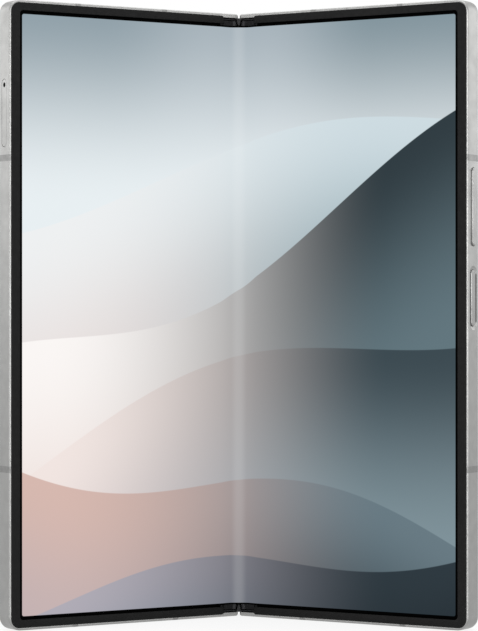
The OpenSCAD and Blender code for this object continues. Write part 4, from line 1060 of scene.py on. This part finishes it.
def cap_stations(length, trim):
    """Stations (run, depth, recess) along a cap: a neck in to the rail, rounded ends and a groove,
    and the recess that hollows the nose beside the plug, cap_recess (1 - s)^1.75 over the share s
    of the run."""
    edge, band, groove = trim.cap_round, trim.cap_band, trim.cap_groove
    neck_depth, neck_end, fall, steps = 0.1 * MM, -0.01 * MM, 1.75, 9
    neck = np.array([[-trim.cap_start - trim.cap_neck, neck_depth], [neck_end, neck_depth]])
    start = rounding(edge, steps=5)
    channel = np.array([[band - edge, 0], [band, edge], [band, groove], [band + groove, groove],
                        [band + groove, edge], [band + groove + edge, 0]])
    body = np.stack([np.linspace(band + groove + 2 * edge, length - 2 * edge, steps), np.zeros(steps)], -1)
    stop = [length, 0] + start[::-1] * [-1, 1]
    stations = np.concatenate([neck, start, channel, body, stop])
    run = stations[:, 0]
    share = np.clip((run - band) / (length - band), 0, 1)
    recess = trim.cap_recess * np.where(run < band, 0, (1 - share) ** fall)
    return np.column_stack([stations, recess])


class PHONE_OT_caps(bpy.types.Operator):
    """Make the four caps between the bezels and the plugs, with a groove along each"""
    bl_idname = "phone.caps"
    bl_label = "Fold caps"

    def execute(self, context):
        trim = context.scene.phone_trim
        fold_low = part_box("flexible_display_fold")[0][2]
        gap, tolerance = 0.02 * MM, 0.01 * MM
        for half in HALVES.values():
            node = half.side + "_fold_caps"
            low, high = half.reach(node)
            start = trim.cap_start
            step_out = half.reach(half.side + "_bezel")[0][0] - trim.cap_gap
            full, inward, share = cap_section(low, high, high[1], step_out, trim.cap_step)
            lowered = cap_section(low, high, high[1] - trim.cap_drop, step_out, trim.cap_step)[0]
            run, depth, recess = cap_stations(fold_low - gap - low[2] - start, trim).T
            banded = run <= trim.cap_band + trim.cap_groove + tolerance
            section = np.where(banded[:, None, None], lowered, full) + depth[:, None, None] * inward
            section[..., 0] += recess[:, None] * share
            for name, base, way in (("bottom", low[2] + start, 1), ("top", high[2] - start, -1)):
                rings = half.place(section[..., 0], section[..., 1], (base + way * run)[:, None])
                cap = loft(f"{half.side}_{name}_cap", rings, sharp=30)
                finish_piece(cap, half.body, "cap_plastic", node)
        return {"FINISHED"}


# ---------------------------- frame finishes and stage


class PHONE_OT_finishes(bpy.types.Operator):
    """Give every piece of the frame its finish, but for the flexible screen's"""
    bl_idname = "phone.finishes"
    bl_label = "Finishes"

    def execute(self, context):
        for node, piece in frame["nodes"].items():
            if SLOTS[node] != "flexible_screen":
                piece.data.materials.clear()
                piece.data.materials.append(finish_for(SLOTS[node]))
        return {"FINISHED"}


def soft_light(name, place, target, size, power):
    """A rectangular soft light that faces a point."""
    lamp = bpy.data.lights.new(name, "AREA")
    lamp.shape = "RECTANGLE"
    lamp.size, lamp.size_y = size
    lamp.energy = power
    holder = bpy.data.objects.new(name, lamp)
    bpy.context.scene.collection.objects.link(holder)
    holder.location = place
    direction = np.array(target) - np.array(place)
    yaw = math.atan2(direction[1], direction[0]) - QUARTER
    pitch = math.atan2(direction[2], math.hypot(direction[0], direction[1]))
    holder.rotation_euler = (QUARTER + pitch, 0, yaw)
    holder.visible_camera = False


def pale_floor():
    """The floor's finish: a pale matt sheet that reads white to the camera but keeps its shadows,
    for it is part lit to the camera and all white in gloss and glass."""
    lit = 0.15
    finish = Finish("pale_floor", linear(243, 243, 243), 0.0, 0.6)
    speckle = finish.spread(finish.noise(300))
    finish.paint(finish.mix(speckle, linear(240, 240, 240), linear(246, 246, 246)))
    camera, seen = finish.seen_plain()
    share = finish.math("SUBTRACT", seen, finish.math("MULTIPLY", camera, lit))
    glow = finish.add("Emission", {"Color": (1, 1, 1, 1), "Strength": 1.0})
    finish.show("Material Output", share, finish.shader, glow)
    return finish.material


def white_room(level):
    """A world that lights the phone evenly, and is plain white to the camera, in gloss and in glass."""
    world = bpy.data.worlds.new("Room")
    graph = Graph(world)
    room = graph.set(graph.nodes["Background"], {"Color": (1, 1, 1, 1), "Strength": level})
    white = graph.add("Background", {"Color": (1, 1, 1, 1), "Strength": 1.0})
    graph.show("World Output", graph.seen_plain()[1], room, white)
    return world


class PHONE_OT_stage(bpy.types.Operator):
    """Make the floor, the lights, the room and the camera"""
    bl_idname = "phone.stage"
    bl_label = "Studio"

    def execute(self, context):
        settings = context.scene.phone_studio
        low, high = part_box("right_frame")
        middle = (low[2] + high[2]) / 2
        reach = 3.0
        corners = np.array([[-reach, -reach, 0], [reach, -reach, 0], [reach, reach, 0], [-reach, reach, 0]])
        floor = make_object("floor", corners, [np.array([[0, 1, 2, 3]])])
        floor.data.materials.append(pale_floor())
        context.scene.world = white_room(settings.room_light)
        target, strip_up = (0, 0, middle), 0.288
        # Each lamp: its name, place, target, size and power
        lamps = [("front_light", (0, -1.1, 0.2), target, (0.6, 0.4), settings.front_light),
                 ("top_light", (0, 0.05, 0.9), target, (1.1, 0.9), settings.top_light)]
        for side, x in (("left", -1), ("right", 1)):
            lamps += [(side + "_strip", (0.49 * x, 0.23, strip_up), (0.06 * x, 0, strip_up), (0.3, 0.36),
                       settings.strip_light),
                      (side + "_soft", (0.6 * x, -0.3, 0.05), target, (0.5, 0.5), settings.side_light)]
        for lamp in lamps:
            soft_light(*lamp)
        camera = bpy.data.cameras.new("camera")
        camera.lens = settings.lens
        camera.shift_x, camera.shift_y = settings.slide, settings.rise
        camera.clip_start = 0.01
        holder = bpy.data.objects.new("camera", camera)
        holder.location = (0, -settings.distance, middle)
        holder.rotation_euler = (QUARTER, 0, 0)
        context.scene.collection.objects.link(holder)
        context.scene.camera = holder
        context.scene.view_settings.view_transform = "Standard"
        return {"FINISHED"}


class PHONE_PT_panel(bpy.types.Panel):
    """Settings and steps of the phone"""
    bl_idname = "PHONE_PT_panel"
    bl_label = "Foldable phone"
    bl_space_type = "VIEW_3D"
    bl_region_type = "UI"
    bl_category = "Phone"

    def draw(self, context):
        for settings in SETTINGS:
            group = getattr(context.scene, settings)
            box = self.layout.box()
            for name in group.__annotations__:
                box.prop(group, name)
        for operator in OPERATORS:
            self.layout.operator(operator.bl_idname)


OPERATORS = (PHONE_OT_stage, PHONE_OT_finishes, PHONE_OT_display, PHONE_OT_bezels, PHONE_OT_caps,
             PHONE_OT_keys, PHONE_OT_cameras)
SETTINGS = {"phone_finish": FinishSettings, "phone_screen": ScreenSettings, "phone_trim": TrimSettings,
            "phone_studio": StudioSettings}


def register():
    for cls in (*SETTINGS.values(), *OPERATORS, PHONE_PT_panel):
        bpy.utils.register_class(cls)
    for name, group in SETTINGS.items():
        setattr(bpy.types.Scene, name, PointerProperty(type=group))


def unregister():
    for name in SETTINGS:
        delattr(bpy.types.Scene, name)
    for cls in (PHONE_PT_panel, *reversed(OPERATORS), *SETTINGS.values()):
        bpy.utils.unregister_class(cls)


def main():
    """Makes the whole phone."""
    register()
    for operator in OPERATORS:
        group, name = operator.bl_idname.split(".")
        getattr(getattr(bpy.ops, group), name)()


if __name__ == "__main__":
    main()
